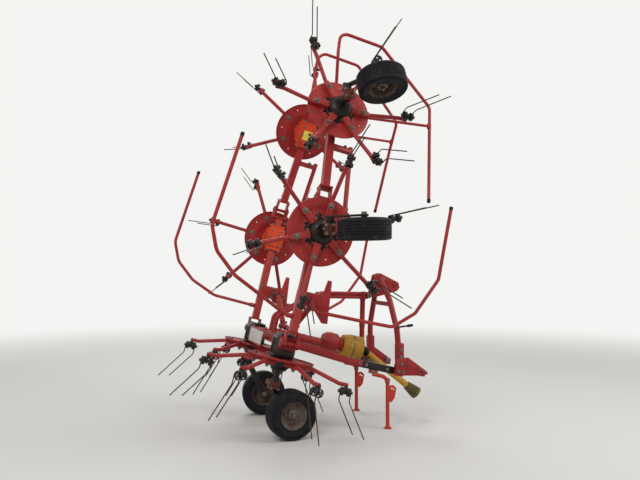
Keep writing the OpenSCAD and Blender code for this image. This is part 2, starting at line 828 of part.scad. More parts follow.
cross_beam();
side_rails();
tower();
headstock();
headstock_leg(-1);  // headstock_leg_right
headstock_leg(1);  // headstock_leg_left
lower_hitch();
stand_legs();
input_gearbox();
pto_guard();
pto_shaft();
pto_yoke();
centre_gearboxes();
centre_stems();
rear_board();
control_lever();
inner_beam(-1);  // inner_beam_right
wing_gearbox(1, -1);  // inner_gearbox_right
inner_guards(-1);  // inner_guards_right
wing_stem(1, -1);  // inner_stem_right
inner_beam(1);  // inner_beam_left
wing_gearbox(1, 1);  // inner_gearbox_left
inner_guards(1);  // inner_guards_left
wing_stem(1, 1);  // inner_stem_left
outer_beam(-1);  // outer_beam_right
wing_gearbox(2, -1);  // outer_gearbox_right
outer_guard(-1);  // outer_guard_right
wing_stem(2, -1);  // outer_stem_right
outer_beam(1);  // outer_beam_left
wing_gearbox(2, 1);  // outer_gearbox_left
outer_guard(1);  // outer_guard_left
wing_stem(2, 1);  // outer_stem_left
rotor(0);  // rotor_1
rotor(1);  // rotor_2
rotor(2);  // rotor_3
rotor(3);  // rotor_4
rotor(4);  // rotor_5
rotor(5);  // rotor_6
tines(0);  // tines_1
tines(1);  // tines_2
tines(2);  // tines_3
tines(3);  // tines_4
tines(4);  // tines_5
tines(5);  // tines_6
tyre(0);  // tyre_1
tyre(1);  // tyre_2
tyre(2);  // tyre_3
tyre(3);  // tyre_4
tyre(4);  // tyre_5
tyre(5);  // tyre_6
rim(0);  // rim_1
rim(1);  // rim_2
rim(2);  // rim_3
rim(3);  // rim_4
rim(4);  // rim_5
rim(5);  // rim_6
fold_barrel(-1);  // fold_barrel_right
fold_rod(-1);  // fold_rod_right
fold_barrel(1);  // fold_barrel_left
fold_rod(1);  // fold_rod_left
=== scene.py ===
"""Six-rotor hay tedder for a three-point hitch, parked with its wings folded up.

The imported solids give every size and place. Each sub-assembly below is a class that models its
pieces in a local frame, carries them to their stations and seats them on the body that moves them.
"""

from __future__ import annotations

import json
import logging
import math
from contextlib import contextmanager
from dataclasses import dataclass, field
from enum import Enum
from functools import wraps
from typing import Callable, Iterable, Iterator, Sequence

import bpy
import numpy as np
from mathutils import Euler, Matrix, Vector

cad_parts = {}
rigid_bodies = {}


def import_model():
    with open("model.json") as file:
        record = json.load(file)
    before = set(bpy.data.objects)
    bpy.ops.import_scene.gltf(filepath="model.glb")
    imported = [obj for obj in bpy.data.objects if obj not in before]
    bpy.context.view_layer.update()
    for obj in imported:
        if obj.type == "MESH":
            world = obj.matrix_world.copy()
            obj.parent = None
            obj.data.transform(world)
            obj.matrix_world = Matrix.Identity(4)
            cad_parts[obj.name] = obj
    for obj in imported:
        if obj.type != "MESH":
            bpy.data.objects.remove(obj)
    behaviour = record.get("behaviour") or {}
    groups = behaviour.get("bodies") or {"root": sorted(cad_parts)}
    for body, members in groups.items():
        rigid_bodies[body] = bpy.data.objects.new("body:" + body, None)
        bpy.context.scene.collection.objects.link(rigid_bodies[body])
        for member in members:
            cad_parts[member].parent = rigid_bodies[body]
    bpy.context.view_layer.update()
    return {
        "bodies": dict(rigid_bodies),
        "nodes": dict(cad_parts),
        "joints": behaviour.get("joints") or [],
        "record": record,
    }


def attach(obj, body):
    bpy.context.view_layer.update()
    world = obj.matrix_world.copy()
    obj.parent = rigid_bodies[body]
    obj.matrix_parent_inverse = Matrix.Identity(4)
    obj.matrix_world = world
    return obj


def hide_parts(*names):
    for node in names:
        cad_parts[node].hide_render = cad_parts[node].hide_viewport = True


LOG = logging.getLogger("tedder")

Point = Sequence[float]
Rgb = tuple[float, float, float]
Object = bpy.types.Object
Material = bpy.types.Material

MERGE = 0.01
SMOOTH_ANGLE = math.radians(32)
MM = 0.001
BOLT_TURN = 17.0


class Side(Enum):
    """The two halves of the machine."""

    RIGHT = -1
    LEFT = 1

    @property
    def word(self) -> str:
        """Name of the side, as the nodes and bodies spell it."""
        return self.name.lower()


class Part(Enum):
    """The sections that carry a rotor: the centre frame, an inner wing and an outer wing."""

    CENTRE = 0
    INNER = 1
    OUTER = 2


@dataclass(frozen=True)
class RotorSpec:
    """One rotor: its number, the section and side that carry it, and its first arm's angle in degrees."""

    number: int
    part: Part
    side: Side
    first_arm: float

    @property
    def section(self) -> str:
        """Name of the body that carries the rotor.

        Returns:
            The body's name.
        """
        if self.part is Part.CENTRE:
            return "frame"
        return f"wing_{self.part.name.lower()}_{self.side.word}"


ROTORS = (
    RotorSpec(1, Part.OUTER, Side.RIGHT, 4),
    RotorSpec(2, Part.INNER, Side.RIGHT, 24),
    RotorSpec(3, Part.CENTRE, Side.RIGHT, 12),
    RotorSpec(4, Part.CENTRE, Side.LEFT, 44),
    RotorSpec(5, Part.INNER, Side.LEFT, 56),
    RotorSpec(6, Part.OUTER, Side.LEFT, 34),
)
SWIVEL = {Part.CENTRE: -8.4, Part.INNER: 14.3, Part.OUTER: 14.3}
UPRIGHT = Matrix(((0, 0, 1, 0), (1, 0, 0, 0), (0, 1, 0, 0), (0, 0, 0, 1)))
EDGEWISE = Matrix.Rotation(math.radians(90), 4, "X")
FORWARD = Matrix.Rotation(math.radians(90), 4, "Y")
SIDEWAYS = Matrix.Rotation(math.radians(-90), 4, "X")


def linear(code: str) -> Rgb:
    """Turn a written colour into linear light.

    Args:
        code: six hexadecimal digits, red first.

    Returns:
        The three channels as a shader takes them.
    """
    channels = (int(code[i:i + 2], 16) / 255 for i in (0, 2, 4))
    return tuple(c / 12.92 if c <= 0.04045 else ((c + 0.055) / 1.055) ** 2.4 for c in channels)


RAIN_STREAK, RUST_STAIN, ROAD_DUST = "3c1d17", "5b2c1c", "8d7763"
OLD_GREASE, RUST, DRY_MUD, RUBBED_RUBBER = "221c19", "6a4430", "6f6252", "4c4a49"


class Graph:
    """Short way to add and join the nodes of one shader tree."""

    def __init__(self, tree: bpy.types.NodeTree) -> None:
        """Start with the tree emptied.

        Args:
            tree: the material's tree or a group's.
        """
        self.tree = tree
        tree.nodes.clear()

    def node(self, kind: str, inputs: dict | None = None, **settings: object) -> bpy.types.Node:
        """Add a node.

        Args:
            kind: the node's type after "ShaderNode", or its whole name for a group's ends.
            inputs: a socket's name or number, and the value or output socket that feeds it.
            settings: the node's own properties.

        Returns:
            The new node.
        """
        added = self.tree.nodes.new(kind if kind.startswith("Node") else "ShaderNode" + kind)
        for key, value in settings.items():
            setattr(added, key, value)
        for key, value in (inputs or {}).items():
            if isinstance(value, bpy.types.NodeSocket):
                self.tree.links.new(value, added.inputs[key])
            else:
                added.inputs[key].default_value = value
        return added

    def noise(self, vector: bpy.types.NodeSocket, scale: float, detail: float = 4.0,
              rough: float = 0.6) -> bpy.types.NodeSocket:
        """Add a noise texture.

        Args:
            vector: where it is read.
            scale: features to the metre.
            detail: octaves.
            rough: strength of the fine octaves.

        Returns:
            Its grey output.
        """
        made = self.node("TexNoise", {"Vector": vector, "Scale": scale, "Detail": detail, "Roughness": rough})
        return made.outputs["Fac"]

    def span(self, value: object, low: object, high: object, to_low: object = 0.0,
             to_high: object = 1.0) -> bpy.types.NodeSocket:
        """Map a span of values smoothly onto another.

        Args:
            value: what is mapped.
            low: value that becomes to_low.
            high: value that becomes to_high.
            to_low: result at low.
            to_high: result at high.

        Returns:
            The mapped value.
        """
        made = self.node("MapRange", {0: value, 1: low, 2: high, 3: to_low, 4: to_high},
                         interpolation_type="SMOOTHSTEP")
        return made.outputs[0]

    def sum(self, operation: str, first: object, second: object = 0.0,
            clamp: bool = False) -> bpy.types.NodeSocket:
        """Join two values by arithmetic.

        Args:
            operation: the Math node's operation.
            first: first value.
            second: second value.
            clamp: True keeps the result from 0 to 1.

        Returns:
            The result.
        """
        return self.node("Math", {0: first, 1: second}, operation=operation, use_clamp=clamp).outputs[0]

    def mix(self, share: object, first: object, second: object, blend: str = "MIX") -> bpy.types.NodeSocket:
        """Mix two colours.

        Args:
            share: how much of the second.
            first: first colour.
            second: second colour.
            blend: the Mix node's blend type.

        Returns:
            The mixed colour.
        """
        colours = [c if isinstance(c, bpy.types.NodeSocket) else (*c, 1.0) for c in (first, second)]
        made = self.node("Mix", {0: share, 6: colours[0], 7: colours[1]}, data_type="RGBA", blend_type=blend)
        return made.outputs[2]


class Socket(Enum):
    """Socket types of the shader groups."""

    VECTOR = "NodeSocketVector"
    COLOUR = "NodeSocketColor"
    VALUE = "NodeSocketFloat"


LOOK = {"Color": Socket.COLOUR, "Roughness": Socket.VALUE, "Height": Socket.VALUE}
SURFACE = {"Vector": Socket.VECTOR, "Normal": Socket.VECTOR}
Given = bpy.types.NodeOutputs
Fed = dict[str, bpy.types.NodeSocket]


def shader_group(inputs: dict[str, Socket], outputs: dict[str, Socket]
                 ) -> Callable[[Callable[[Graph, Given], Fed]], Callable[[], bpy.types.NodeTree]]:
    """Make a function that adds nodes into one that builds its shader node group once.

    Args:
        inputs: the group's input sockets.
        outputs: its output sockets.

    Returns:
        The decorator. The function it takes gets the group's graph and its inputs, and returns what
        feeds each output; the function it gives back returns the group's tree.
    """

    def decorate(fill: Callable[[Graph, Given], Fed]) -> Callable[[], bpy.types.NodeTree]:
        """Wrap the function.

        Args:
            fill: adds the group's nodes.

        Returns:
            What builds the group.
        """

        @wraps(fill)
        def build() -> bpy.types.NodeTree:
            """Build the group, or return the one built before.

            Returns:
                The group's tree.
            """
            found = bpy.data.node_groups.get(fill.__name__)
            if found:
                return found
            tree = bpy.data.node_groups.new(fill.__name__, "ShaderNodeTree")
            for way, sockets in (("INPUT", inputs), ("OUTPUT", outputs)):
                for key, kind in sockets.items():
                    tree.interface.new_socket(key, in_out=way, socket_type=kind.value)
            graph = Graph(tree)
            start = graph.node("NodeGroupInput")
            graph.node("NodeGroupOutput", fill(graph, start.outputs))
            return tree

        return build

    return decorate


@shader_group({**SURFACE, "Amount": Socket.VALUE}, {"Mask": Socket.VALUE})
def settled_dust(graph: Graph, given: Given) -> Fed:
    """Mask of the dust that settles on faces that look up, thinner where noise rubs it off.

    Args:
        graph: the group's nodes.
        given: its input sockets.

    Returns:
        What feeds each output.
    """
    where = given["Vector"]
    up = graph.node("SeparateXYZ", {0: given["Normal"]}).outputs["Z"]
    patchy = graph.span(graph.noise(where, 7.0, 5.0, 0.65), 0.35, 0.7)
    lying = graph.sum("MULTIPLY", graph.span(up, 0.1, 0.95), patchy)
    everywhere = graph.sum("MULTIPLY", graph.span(graph.noise(where, 23.0), 0.5, 0.8), 0.35)
    both = graph.sum("ADD", lying, everywhere, clamp=True)
    return {"Mask": graph.sum("MULTIPLY", both, given["Amount"], clamp=True)}


@shader_group({"Vector": Socket.VECTOR, "Amount": Socket.VALUE},
              {"Chip": Socket.VALUE, "Stain": Socket.VALUE})
def chipped_spots(graph: Graph, given: Given) -> Fed:
    """Masks of the chips in a paint and of the stain round them.

    Args:
        graph: the group's nodes.
        given: its input sockets.

    Returns:
        What feeds each output.
    """
    fine = graph.noise(given["Vector"], 95.0, 3.0, 0.7)
    clusters = graph.noise(given["Vector"], 11.0, 3.0, 0.55)
    both = graph.sum("ADD", graph.sum("MULTIPLY", fine, 0.6), graph.sum("MULTIPLY", clusters, 0.4))
    least = graph.node("Math", {0: given["Amount"], 1: -0.22, 2: 0.72}, operation="MULTIPLY_ADD").outputs[0]
    soft = graph.sum("SUBTRACT", least, 0.06)
    return {"Chip": graph.span(both, least, graph.sum("ADD", least, 0.02)),
            "Stain": graph.span(both, soft, least)}


@shader_group({**SURFACE, "Coat": Socket.COLOUR, "Faded": Socket.COLOUR, "Bare": Socket.COLOUR,
               "Wear": Socket.VALUE, "Dirt": Socket.VALUE, "Matt": Socket.VALUE}, LOOK)
def weathered_coat(graph: Graph, given: Given) -> Fed:
    """Sun-faded paint or plastic with chips, rust stains, rain streaks and dust.

    Args:
        graph: the group's nodes.
        given: its input sockets.

    Returns:
        What feeds each output.
    """
    where, dirt = given["Vector"], given["Dirt"]
    fade = graph.span(graph.noise(where, 2.6, 6.0, 0.6), 0.35, 0.72)
    coat = graph.mix(fade, given["Coat"], given["Faded"])
    mottle = graph.span(graph.noise(where, 46.0, 5.0, 0.7), 0.3, 0.75, 0.84, 1.07)
    grey = graph.node("CombineXYZ", {axis: mottle for axis in range(3)}).outputs[0]
    coat = graph.mix(1.0, coat, grey, "MULTIPLY")
    streak_place = graph.node("Mapping", {"Vector": where, "Scale": (9.0, 9.0, 1.3)}).outputs[0]
    streaks = graph.span(graph.noise(streak_place, 2.2, 5.0, 0.6), 0.52, 0.78)
    coat = graph.mix(graph.sum("MULTIPLY", streaks, dirt), coat, linear(RAIN_STREAK))
    spots = graph.node("Group", {"Vector": where, "Amount": given["Wear"]}, node_tree=chipped_spots()).outputs
    coat = graph.mix(graph.sum("MULTIPLY", spots["Stain"], 0.7), coat, linear(RUST_STAIN))
    coat = graph.mix(spots["Chip"], coat, given["Bare"])
    dust = graph.node("Group", {"Vector": where, "Normal": given["Normal"], "Amount": dirt},
                      node_tree=settled_dust()).outputs["Mask"]
    coat = graph.mix(graph.sum("MULTIPLY", dust, 0.34), coat, linear(ROAD_DUST))
    rough = graph.sum("ADD", given["Matt"], graph.sum("MULTIPLY", fade, 0.12))
    rough = graph.sum("ADD", rough, graph.sum("MULTIPLY", dust, 0.3), clamp=True)
    peel = graph.sum("MULTIPLY", graph.noise(where, 220.0, 2.0), 0.16)
    height = graph.sum("SUBTRACT", peel, graph.sum("MULTIPLY", spots["Chip"], 0.5))
    return {"Color": coat, "Roughness": rough, "Height": height}


@shader_group({**SURFACE, "Wet": Socket.COLOUR, "Cake": Socket.COLOUR, "Dry": Socket.VALUE}, LOOK)
def caked_grease(graph: Graph, given: Given) -> Fed:
    """Old grease in lumps, wet in places and dry with chaff in others.

    Args:
        graph: the group's nodes.
        given: its input sockets.

    Returns:
        What feeds each output.
    """
    where = given["Vector"]
    lumps = graph.noise(where, 38.0, 6.0, 0.65)
    dry = graph.span(graph.noise(where, 13.0, 5.0, 0.6), 0.45, 0.68)
    dry = graph.sum("MULTIPLY", dry, given["Dry"], clamp=True)
    colour = graph.mix(graph.span(lumps, 0.35, 0.7), given["Wet"], linear(OLD_GREASE))
    colour = graph.mix(dry, colour, given["Cake"])
    return {"Color": colour, "Roughness": graph.span(dry, 0.0, 1.0, 0.34, 0.86), "Height": lumps}


@shader_group({**SURFACE, "Metal": Socket.COLOUR, "Dull": Socket.COLOUR,
               "Rust": Socket.VALUE, "Matt": Socket.VALUE}, LOOK)
def brushed_wear(graph: Graph, given: Given) -> Fed:
    """Bare metal with fine scratches, a tint of rust and dust.

    Args:
        graph: the group's nodes.
        given: its input sockets.

    Returns:
        What feeds each output.
    """
    where = given["Vector"]
    rust = graph.span(graph.noise(where, 31.0, 6.0, 0.7), 0.45, 0.7)
    rust = graph.sum("MULTIPLY", rust, given["Rust"], clamp=True)
    colour = graph.mix(graph.noise(where, 150.0, 2.0), given["Metal"], given["Dull"])
    colour = graph.mix(rust, colour, linear(RUST))
    rough = graph.sum("ADD", given["Matt"], graph.sum("MULTIPLY", rust, 0.35), clamp=True)
    scratch_place = graph.node("Mapping", {"Vector": where, "Scale": (3.0, 3.0, 0.4)}).outputs[0]
    return {"Color": colour, "Roughness": rough, "Height": graph.noise(scratch_place, 160.0, 3.0)}


@shader_group({**SURFACE, "Rubber": Socket.COLOUR, "Bloom": Socket.COLOUR, "Mud": Socket.VALUE}, LOOK)
def worn_rubber(graph: Graph, given: Given) -> Fed:
    """Grey-black rubber with a bloom, rubbed ribs, fine cracks and dried mud.

    Args:
        graph: the group's nodes.
        given: its input sockets.

    Returns:
        What feeds each output.
    """
    where = given["Vector"]
    bloom = graph.span(graph.noise(where, 9.0, 5.0, 0.6), 0.38, 0.7)
    colour = graph.mix(bloom, given["Rubber"], given["Bloom"])
    mud = graph.span(graph.noise(where, 17.0, 6.0, 0.7), 0.54, 0.72)
    mud = graph.sum("MULTIPLY", mud, given["Mud"], clamp=True)
    colour = graph.mix(mud, colour, linear(DRY_MUD))
    fine = graph.noise(where, 260.0, 3.0)
    colour = graph.mix(graph.span(fine, 0.55, 0.75, 0.0, 0.35), colour, linear(RUBBED_RUBBER))
    rough = graph.span(bloom, 0.0, 1.0, 0.52, 0.8)
    cracks = graph.node("TexVoronoi", {"Vector": where, "Scale": 190.0}, feature="DISTANCE_TO_EDGE")
    depth = graph.span(cracks.outputs["Distance"], 0.0, 0.12)
    depth = graph.sum("ADD", depth, graph.sum("MULTIPLY", fine, 0.8))
    return {"Color": colour, "Roughness": rough, "Height": depth}


@dataclass(frozen=True)
class Finish:
    """One finish: its name, the group that patterns it, and the group's own values."""

    name: str
    group: Callable[[], bpy.types.NodeTree]
    colours: dict[str, str]
    values: dict[str, float]
    metallic: float = 0.0
    bump: float = 0.2
    bump_depth: float = 0.0006
    coat: float = 0.0
    shine: float = 0.3

    def material(self, wear: float | None = None) -> Material:
        """Build the material, or return the one built before.

        Args:
            wear: amount of wear on an edge, in place of the finish's own.

        Returns:
            The material.
        """
        name = self.name + ("_finish" if wear is None else "_edge")
        found = bpy.data.materials.get(name)
        if found:
            return found
        made = bpy.data.materials.new(name)
        made.use_nodes = True
        graph = Graph(made.node_tree)
        feeds = {"Vector": graph.node("TexCoord").outputs["Object"],
                 "Normal": graph.node("NewGeometry").outputs["Normal"], **self.values}
        feeds |= {key: (*linear(code), 1.0) for key, code in self.colours.items()}
        if wear is not None:
            feeds["Wear"] = wear
        pattern = graph.node("Group", feeds, node_tree=self.group())
        bump = graph.node("Bump", {"Height": pattern.outputs["Height"], "Strength": self.bump,
                                   "Distance": self.bump_depth})
        shader = graph.node("BsdfPrincipled", {
            "Base Color": pattern.outputs["Color"], "Roughness": pattern.outputs["Roughness"],
            "Normal": bump.outputs["Normal"], "Metallic": self.metallic, "Coat Weight": self.coat,
            "Specular IOR Level": self.shine})
        graph.node("OutputMaterial", {"Surface": shader.outputs[0]})
        made.diffuse_color = (*linear(next(iter(self.colours.values()))), 1.0)
        return made


BARE_STEEL = "5a4a42"
PAINT_RED = Finish("paint_red", weathered_coat, {"Coat": "9e2023", "Faded": "a93430", "Bare": BARE_STEEL},
                   {"Wear": 0.42, "Dirt": 0.5, "Matt": 0.42}, coat=0.04)
PAINT_ORANGE = Finish("paint_orange", weathered_coat,
                      {"Coat": "d93a1f", "Faded": "df5228", "Bare": BARE_STEEL},
                      {"Wear": 0.35, "Dirt": 0.32, "Matt": 0.4}, coat=0.04)
PAINT_LEG = Finish("paint_leg", weathered_coat, {"Coat": "c2361f", "Faded": "b93a2a", "Bare": BARE_STEEL},
                   {"Wear": 0.4, "Dirt": 0.45, "Matt": 0.42}, coat=0.04)
PAINT_WORN = Finish("paint_worn", weathered_coat, {"Coat": "7c2422", "Faded": "5d3429", "Bare": "33261f"},
                    {"Wear": 0.85, "Dirt": 0.9, "Matt": 0.55})
RIM_GREY = Finish("rim_grey", weathered_coat, {"Coat": "6e665d", "Faded": "54493e", "Bare": "3f2c22"},
                  {"Wear": 0.85, "Dirt": 1.0, "Matt": 0.5})
GUARD_OCHRE = Finish("guard_ochre", weathered_coat, {"Coat": "c9962c", "Faded": "b98f3f", "Bare": "8d6f33"},
                     {"Wear": 0.3, "Dirt": 0.85, "Matt": 0.52})
BOARD_PALE = Finish("board_pale", weathered_coat, {"Coat": "d6cfcb", "Faded": "b9aca9", "Bare": "8b7771"},
                    {"Wear": 0.45, "Dirt": 0.6, "Matt": 0.5})
LABEL_YELLOW = Finish("label_yellow", weathered_coat, {"Coat": "e8d34a", "Faded": "e6d77a", "Bare": "b9a46a"},
                      {"Wear": 0.2, "Dirt": 0.3, "Matt": 0.4})
GREASE = Finish("grease_black", caked_grease, {"Wet": "0b0909", "Cake": "2a221c"}, {"Dry": 0.6},
                bump=0.6, bump_depth=0.003)
DUSTY = Finish("dusty_black", caked_grease, {"Wet": "3a3633", "Cake": "b9b3ab"}, {"Dry": 0.7},
               bump=0.4, bump_depth=0.0015)
CASTING = Finish("casting_black", caked_grease, {"Wet": "131112", "Cake": "352c25"}, {"Dry": 0.45},
                 bump=0.35, bump_depth=0.0012)
SPRING = Finish("steel_dark", brushed_wear, {"Metal": "3b3a3b", "Dull": "2c2a2a"}, {"Rust": 0.3, "Matt": 0.4},
                metallic=0.6, bump=0.12)
BOLT = Finish("bolt_steel", brushed_wear, {"Metal": "8a7f78", "Dull": "6a5a52"}, {"Rust": 0.6, "Matt": 0.42},
              metallic=0.6, bump=0.15)
PIN_STEEL = Finish("pin_steel", brushed_wear, {"Metal": "7d7770", "Dull": "57514b"},
                   {"Rust": 0.6, "Matt": 0.42}, metallic=0.8, bump=0.15)
CHROME = Finish("chrome", brushed_wear, {"Metal": "d8dadd", "Dull": "c6c8cc"}, {"Rust": 0.06, "Matt": 0.1},
                metallic=1.0, bump=0.03)
RUBBER = Finish("tyre_black", worn_rubber, {"Rubber": "0d0e11", "Bloom": "181a20"}, {"Mud": 0.25},
                bump=0.3, bump_depth=0.0008, shine=0.18)
BOOT = Finish("boot_black", worn_rubber, {"Rubber": "101012", "Bloom": "1c1c1f"}, {"Mud": 0.5},
              bump=0.25, bump_depth=0.0006, shine=0.2)

# Lighter copy of the red paint for the inner beam tubes: painted light, the sunlit look of the same red
# paint.
PAINT_SUNLIT_RED = Finish("paint_faded", weathered_coat, {"Coat": "a62f2b", "Faded": "b54a42", "Bare": BARE_STEEL},
                     {"Wear": 0.45, "Dirt": 0.5, "Matt": 0.46}, coat=0.04)
BELL_OLIVE = Finish("bell_olive", weathered_coat, {"Coat": "8a7a38", "Faded": "7b7040", "Bare": "3c3820"},
                    {"Wear": 0.3, "Dirt": 0.9, "Matt": 0.55})


def pick(active: Object, *others: Object) -> None:
    """Select only the given objects.

    Args:
        active: the object that operators work on.
        others: further objects to select.
    """
    bpy.ops.object.select_all(action="DESELECT")
    for obj in (active, *others):
        obj.select_set(True)
    bpy.context.view_layer.objects.active = active


@contextmanager
def editing(obj: Object) -> Iterator[None]:
    """Edit mode on one object, with everything selected.

    Args:
        obj: the object.

    Yields:
        Nothing; the object is in edit mode meanwhile.
    """
    pick(obj)
    bpy.ops.object.mode_set(mode="EDIT")
    bpy.ops.mesh.select_all(action="SELECT")
    yield
    bpy.ops.object.mode_set(mode="OBJECT")


def shaded(obj: Object, finish: Finish) -> Object:
    """Give a piece one finish and smooth its gentle edges.

    Args:
        obj: the piece.
        finish: its finish.

    Returns:
        The same piece.
    """
    obj.data.materials.clear()
    obj.data.materials.append(finish.material())
    pick(obj)
    bpy.ops.object.shade_smooth_by_angle(angle=SMOOTH_ANGLE)
    return obj


def bevelled(obj: Object, width: float, segments: int = 2, angle: float = 30.0, material: int = -1) -> Object:
    """Round a piece's sharp edges with the Bevel modifier and apply it.

    Args:
        obj: the piece.
        width: width of the rounding.
        segments: steps of the rounding.
        angle: edges sharper than this are rounded, in degrees.
        material: slot for the new faces, or -1 for their neighbours' slot.

    Returns:
        The same piece.
    """
    bevel = obj.modifiers.new("bevel", "BEVEL")
    bevel.width = width
    bevel.segments = segments
    bevel.limit_method = "ANGLE"
    bevel.angle_limit = math.radians(angle)
    bevel.material = material
    pick(obj)
    bpy.ops.object.modifier_apply(modifier=bevel.name)
    return obj


def carried(obj: Object, place: Matrix) -> Object:
    """Carry a mesh to its place, keeping its faces outward when the place mirrors it.

    Args:
        obj: the piece, with its object at the origin.
        place: where its local frame goes.

    Returns:
        The same piece.
    """
    obj.data.transform(place)
    if place.determinant() < 0:
        obj.data.flip_normals()
    obj.data.update()
    return obj


def all_carried(parts: Iterable[Object], place: Matrix) -> list[Object]:
    """Carry several pieces to the same place."""
    return [carried(part, place) for part in parts]


def copied(obj: Object, place: Matrix | None = None) -> Object:
    """Copy a piece with a mesh of its own.

    Args:
        obj: the piece.
        place: where the copy goes, or None.

    Returns:
        The copy.
    """
    twin = obj.copy()
    twin.data = obj.data.copy()
    bpy.context.scene.collection.objects.link(twin)
    return carried(twin, place) if place else twin


def joined(name: str, parts: Iterable[Object]) -> Object:
    """Join pieces into one.

    Args:
        name: name of the result.
        parts: the pieces, each at the origin.

    Returns:
        The joined piece.
    """
    parts = list(parts)
    pick(*parts)
    if len(parts) > 1:
        bpy.ops.object.join()
    parts[0].name = name
    parts[0].data.name = name
    return parts[0]


def ringed(obj: Object, count: int, start: float = 0.0) -> list[Object]:
    """Copy a piece round the Z axis and remove the first one.

    Args:
        obj: the piece.
        count: number of copies.
        start: angle of the first, in degrees.

    Returns:
        The copies.
    """
    made = [copied(obj, about_z(start + 360 * k / count)) for k in range(count)]
    bpy.data.objects.remove(obj)
    return made


def drilled(obj: Object, drill: Object) -> Object:
    """Cut a piece with another one and remove that one.

    Args:
        obj: the piece.
        drill: what is cut out of it.

    Returns:
        The piece.
    """
    cut = obj.modifiers.new("drill", "BOOLEAN")
    cut.object = drill
    pick(obj)
    bpy.ops.object.modifier_apply(modifier=cut.name)
    bpy.data.objects.remove(drill)
    return obj


def turned(outline: Sequence[tuple[float, float]], finish: Finish, steps: int = 48) -> Object:
    """Spin a closed outline about the Z axis.

    Args:
        outline: radius and height of each point, in order round the section.
        finish: the piece's finish.
        steps: steps of the whole turn.

    Returns:
        The spun piece.
    """
    bpy.ops.object.select_all(action="DESELECT")
    bpy.ops.mesh.primitive_circle_add(vertices=len(outline))
    obj = bpy.context.object
    for vertex, (radius, height) in zip(obj.data.vertices, outline):
        vertex.co = (radius, 0.0, height)
    with editing(obj):
        bpy.ops.mesh.spin(steps=steps, angle=math.tau, center=(0, 0, 0), axis=(0, 0, 1))
        bpy.ops.mesh.select_all(action="SELECT")
        bpy.ops.mesh.remove_doubles(threshold=MERGE)
        bpy.ops.mesh.normals_make_consistent(inside=False)
    return shaded(obj, finish)


def rounded_line(points: Sequence[Point], bend: float, steps: int = 7) -> list[Vector]:
    """Centre line of a bent bar or tube.

    Args:
        points: its ends and the corners of its bends.
        bend: radius of every bend.
        steps: steps of each bend.

    Returns:
        The points of the line, with an arc at each corner.
    """
    corners = [Vector(p) for p in points]
    line = [corners[0]]
    for before, corner, after in zip(corners, corners[1:], corners[2:]):
        into, away = (corner - before).normalized(), (after - corner).normalized()
        turn = into.angle(away)
        inward = (away - into * into.dot(away)).normalized()
        centre = corner - into * bend * math.tan(turn / 2) + inward * bend
        for k in range(steps + 1):
            angle = turn * k / steps
            line.append(centre - inward * bend * math.cos(angle) + into * bend * math.sin(angle))
    return [*line, corners[-1]]


def swept(line: Sequence[Point], radius: float, finish: Finish, sides: int = 16) -> Object:
    """Round bar along a line: a path with a round bevel and closed ends, made a mesh.

    Args:
        line: points of its centre line.
        radius: radius of the bar.
        finish: its finish.
        sides: sides of its section, an even number.

    Returns:
        The bar.
    """
    bpy.ops.object.select_all(action="DESELECT")
    bpy.ops.curve.primitive_nurbs_path_add()
    obj = bpy.context.object
    path = obj.data
    path.splines.clear()
    spline = path.splines.new("POLY")
    spline.points.add(len(line) - 1)
    for point, place in zip(spline.points, line):
        point.co = (*place, 1.0)
    path.fill_mode = "FULL"
    path.bevel_depth = radius
    path.bevel_resolution = (sides - 4) // 2
    path.use_fill_caps = True
    bpy.ops.object.convert(target="MESH")
    obj = bpy.context.object
    with editing(obj):
        bpy.ops.mesh.remove_doubles(threshold=MERGE)
        bpy.ops.mesh.normals_make_consistent(inside=False)
    return shaded(obj, finish)


def bead(line: Sequence[Point], finish: Finish, radius: float = 4.5) -> Object:
    """Weld bead: a thin bar with the ripples of its passes.

    Args:
        line: points that the seam follows.
        finish: its finish.
        radius: mean radius of the bead.

    Returns:
        The bead.
    """
    points = [Vector(p) for p in line]
    dense = []
    for start, end in zip(points, points[1:]):
        count = max(2, int((end - start).length / (1.4 * radius)))
        dense += [start.lerp(end, k / count) for k in range(count)]
    dense.append(points[-1])
    obj = swept(dense, radius, finish, 6)
    middle = np.array([tuple(p) for p in dense])
    for vertex in obj.data.vertices:
        nearest = int(np.argmin(np.linalg.norm(middle - np.array(vertex.co), axis=1)))
        swell = 1.22 if nearest % 2 else 0.86
        vertex.co = dense[nearest] + (vertex.co - dense[nearest]) * swell
    return obj


def plate(outline: Sequence[tuple[float, float]], thickness: float, finish: Finish,
          holes: Sequence[tuple[float, float, float]] = (), edge: float = 1.5) -> Object:
    """Flat piece cut from sheet, in the XY plane and centred on it.

    Args:
        outline: corners in order.
        thickness: thickness of the sheet.
        finish: its finish.
        holes: x, y and radius of each hole.
        edge: width of the rounding along its edges.

    Returns:
        The plate.
    """
    bpy.ops.object.select_all(action="DESELECT")
    bpy.ops.mesh.primitive_circle_add(vertices=len(outline), fill_type="NGON")
    obj = bpy.context.object
    for vertex, (x, y) in zip(obj.data.vertices, outline):
        vertex.co = (x, y, -thickness / 2)
    with editing(obj):
        bpy.ops.mesh.extrude_region_move(TRANSFORM_OT_translate={"value": (0, 0, thickness)})
        bpy.ops.mesh.select_all(action="SELECT")
        bpy.ops.mesh.normals_make_consistent(inside=False)
    for x, y, radius in holes:
        bpy.ops.object.select_all(action="DESELECT")
        bpy.ops.mesh.primitive_cylinder_add(vertices=32, radius=radius, depth=4 * thickness,
                                            location=(x, y, 0))
        drilled(obj, bpy.context.object)
    if edge:
        bevelled(obj, edge)
    return shaded(obj, finish)


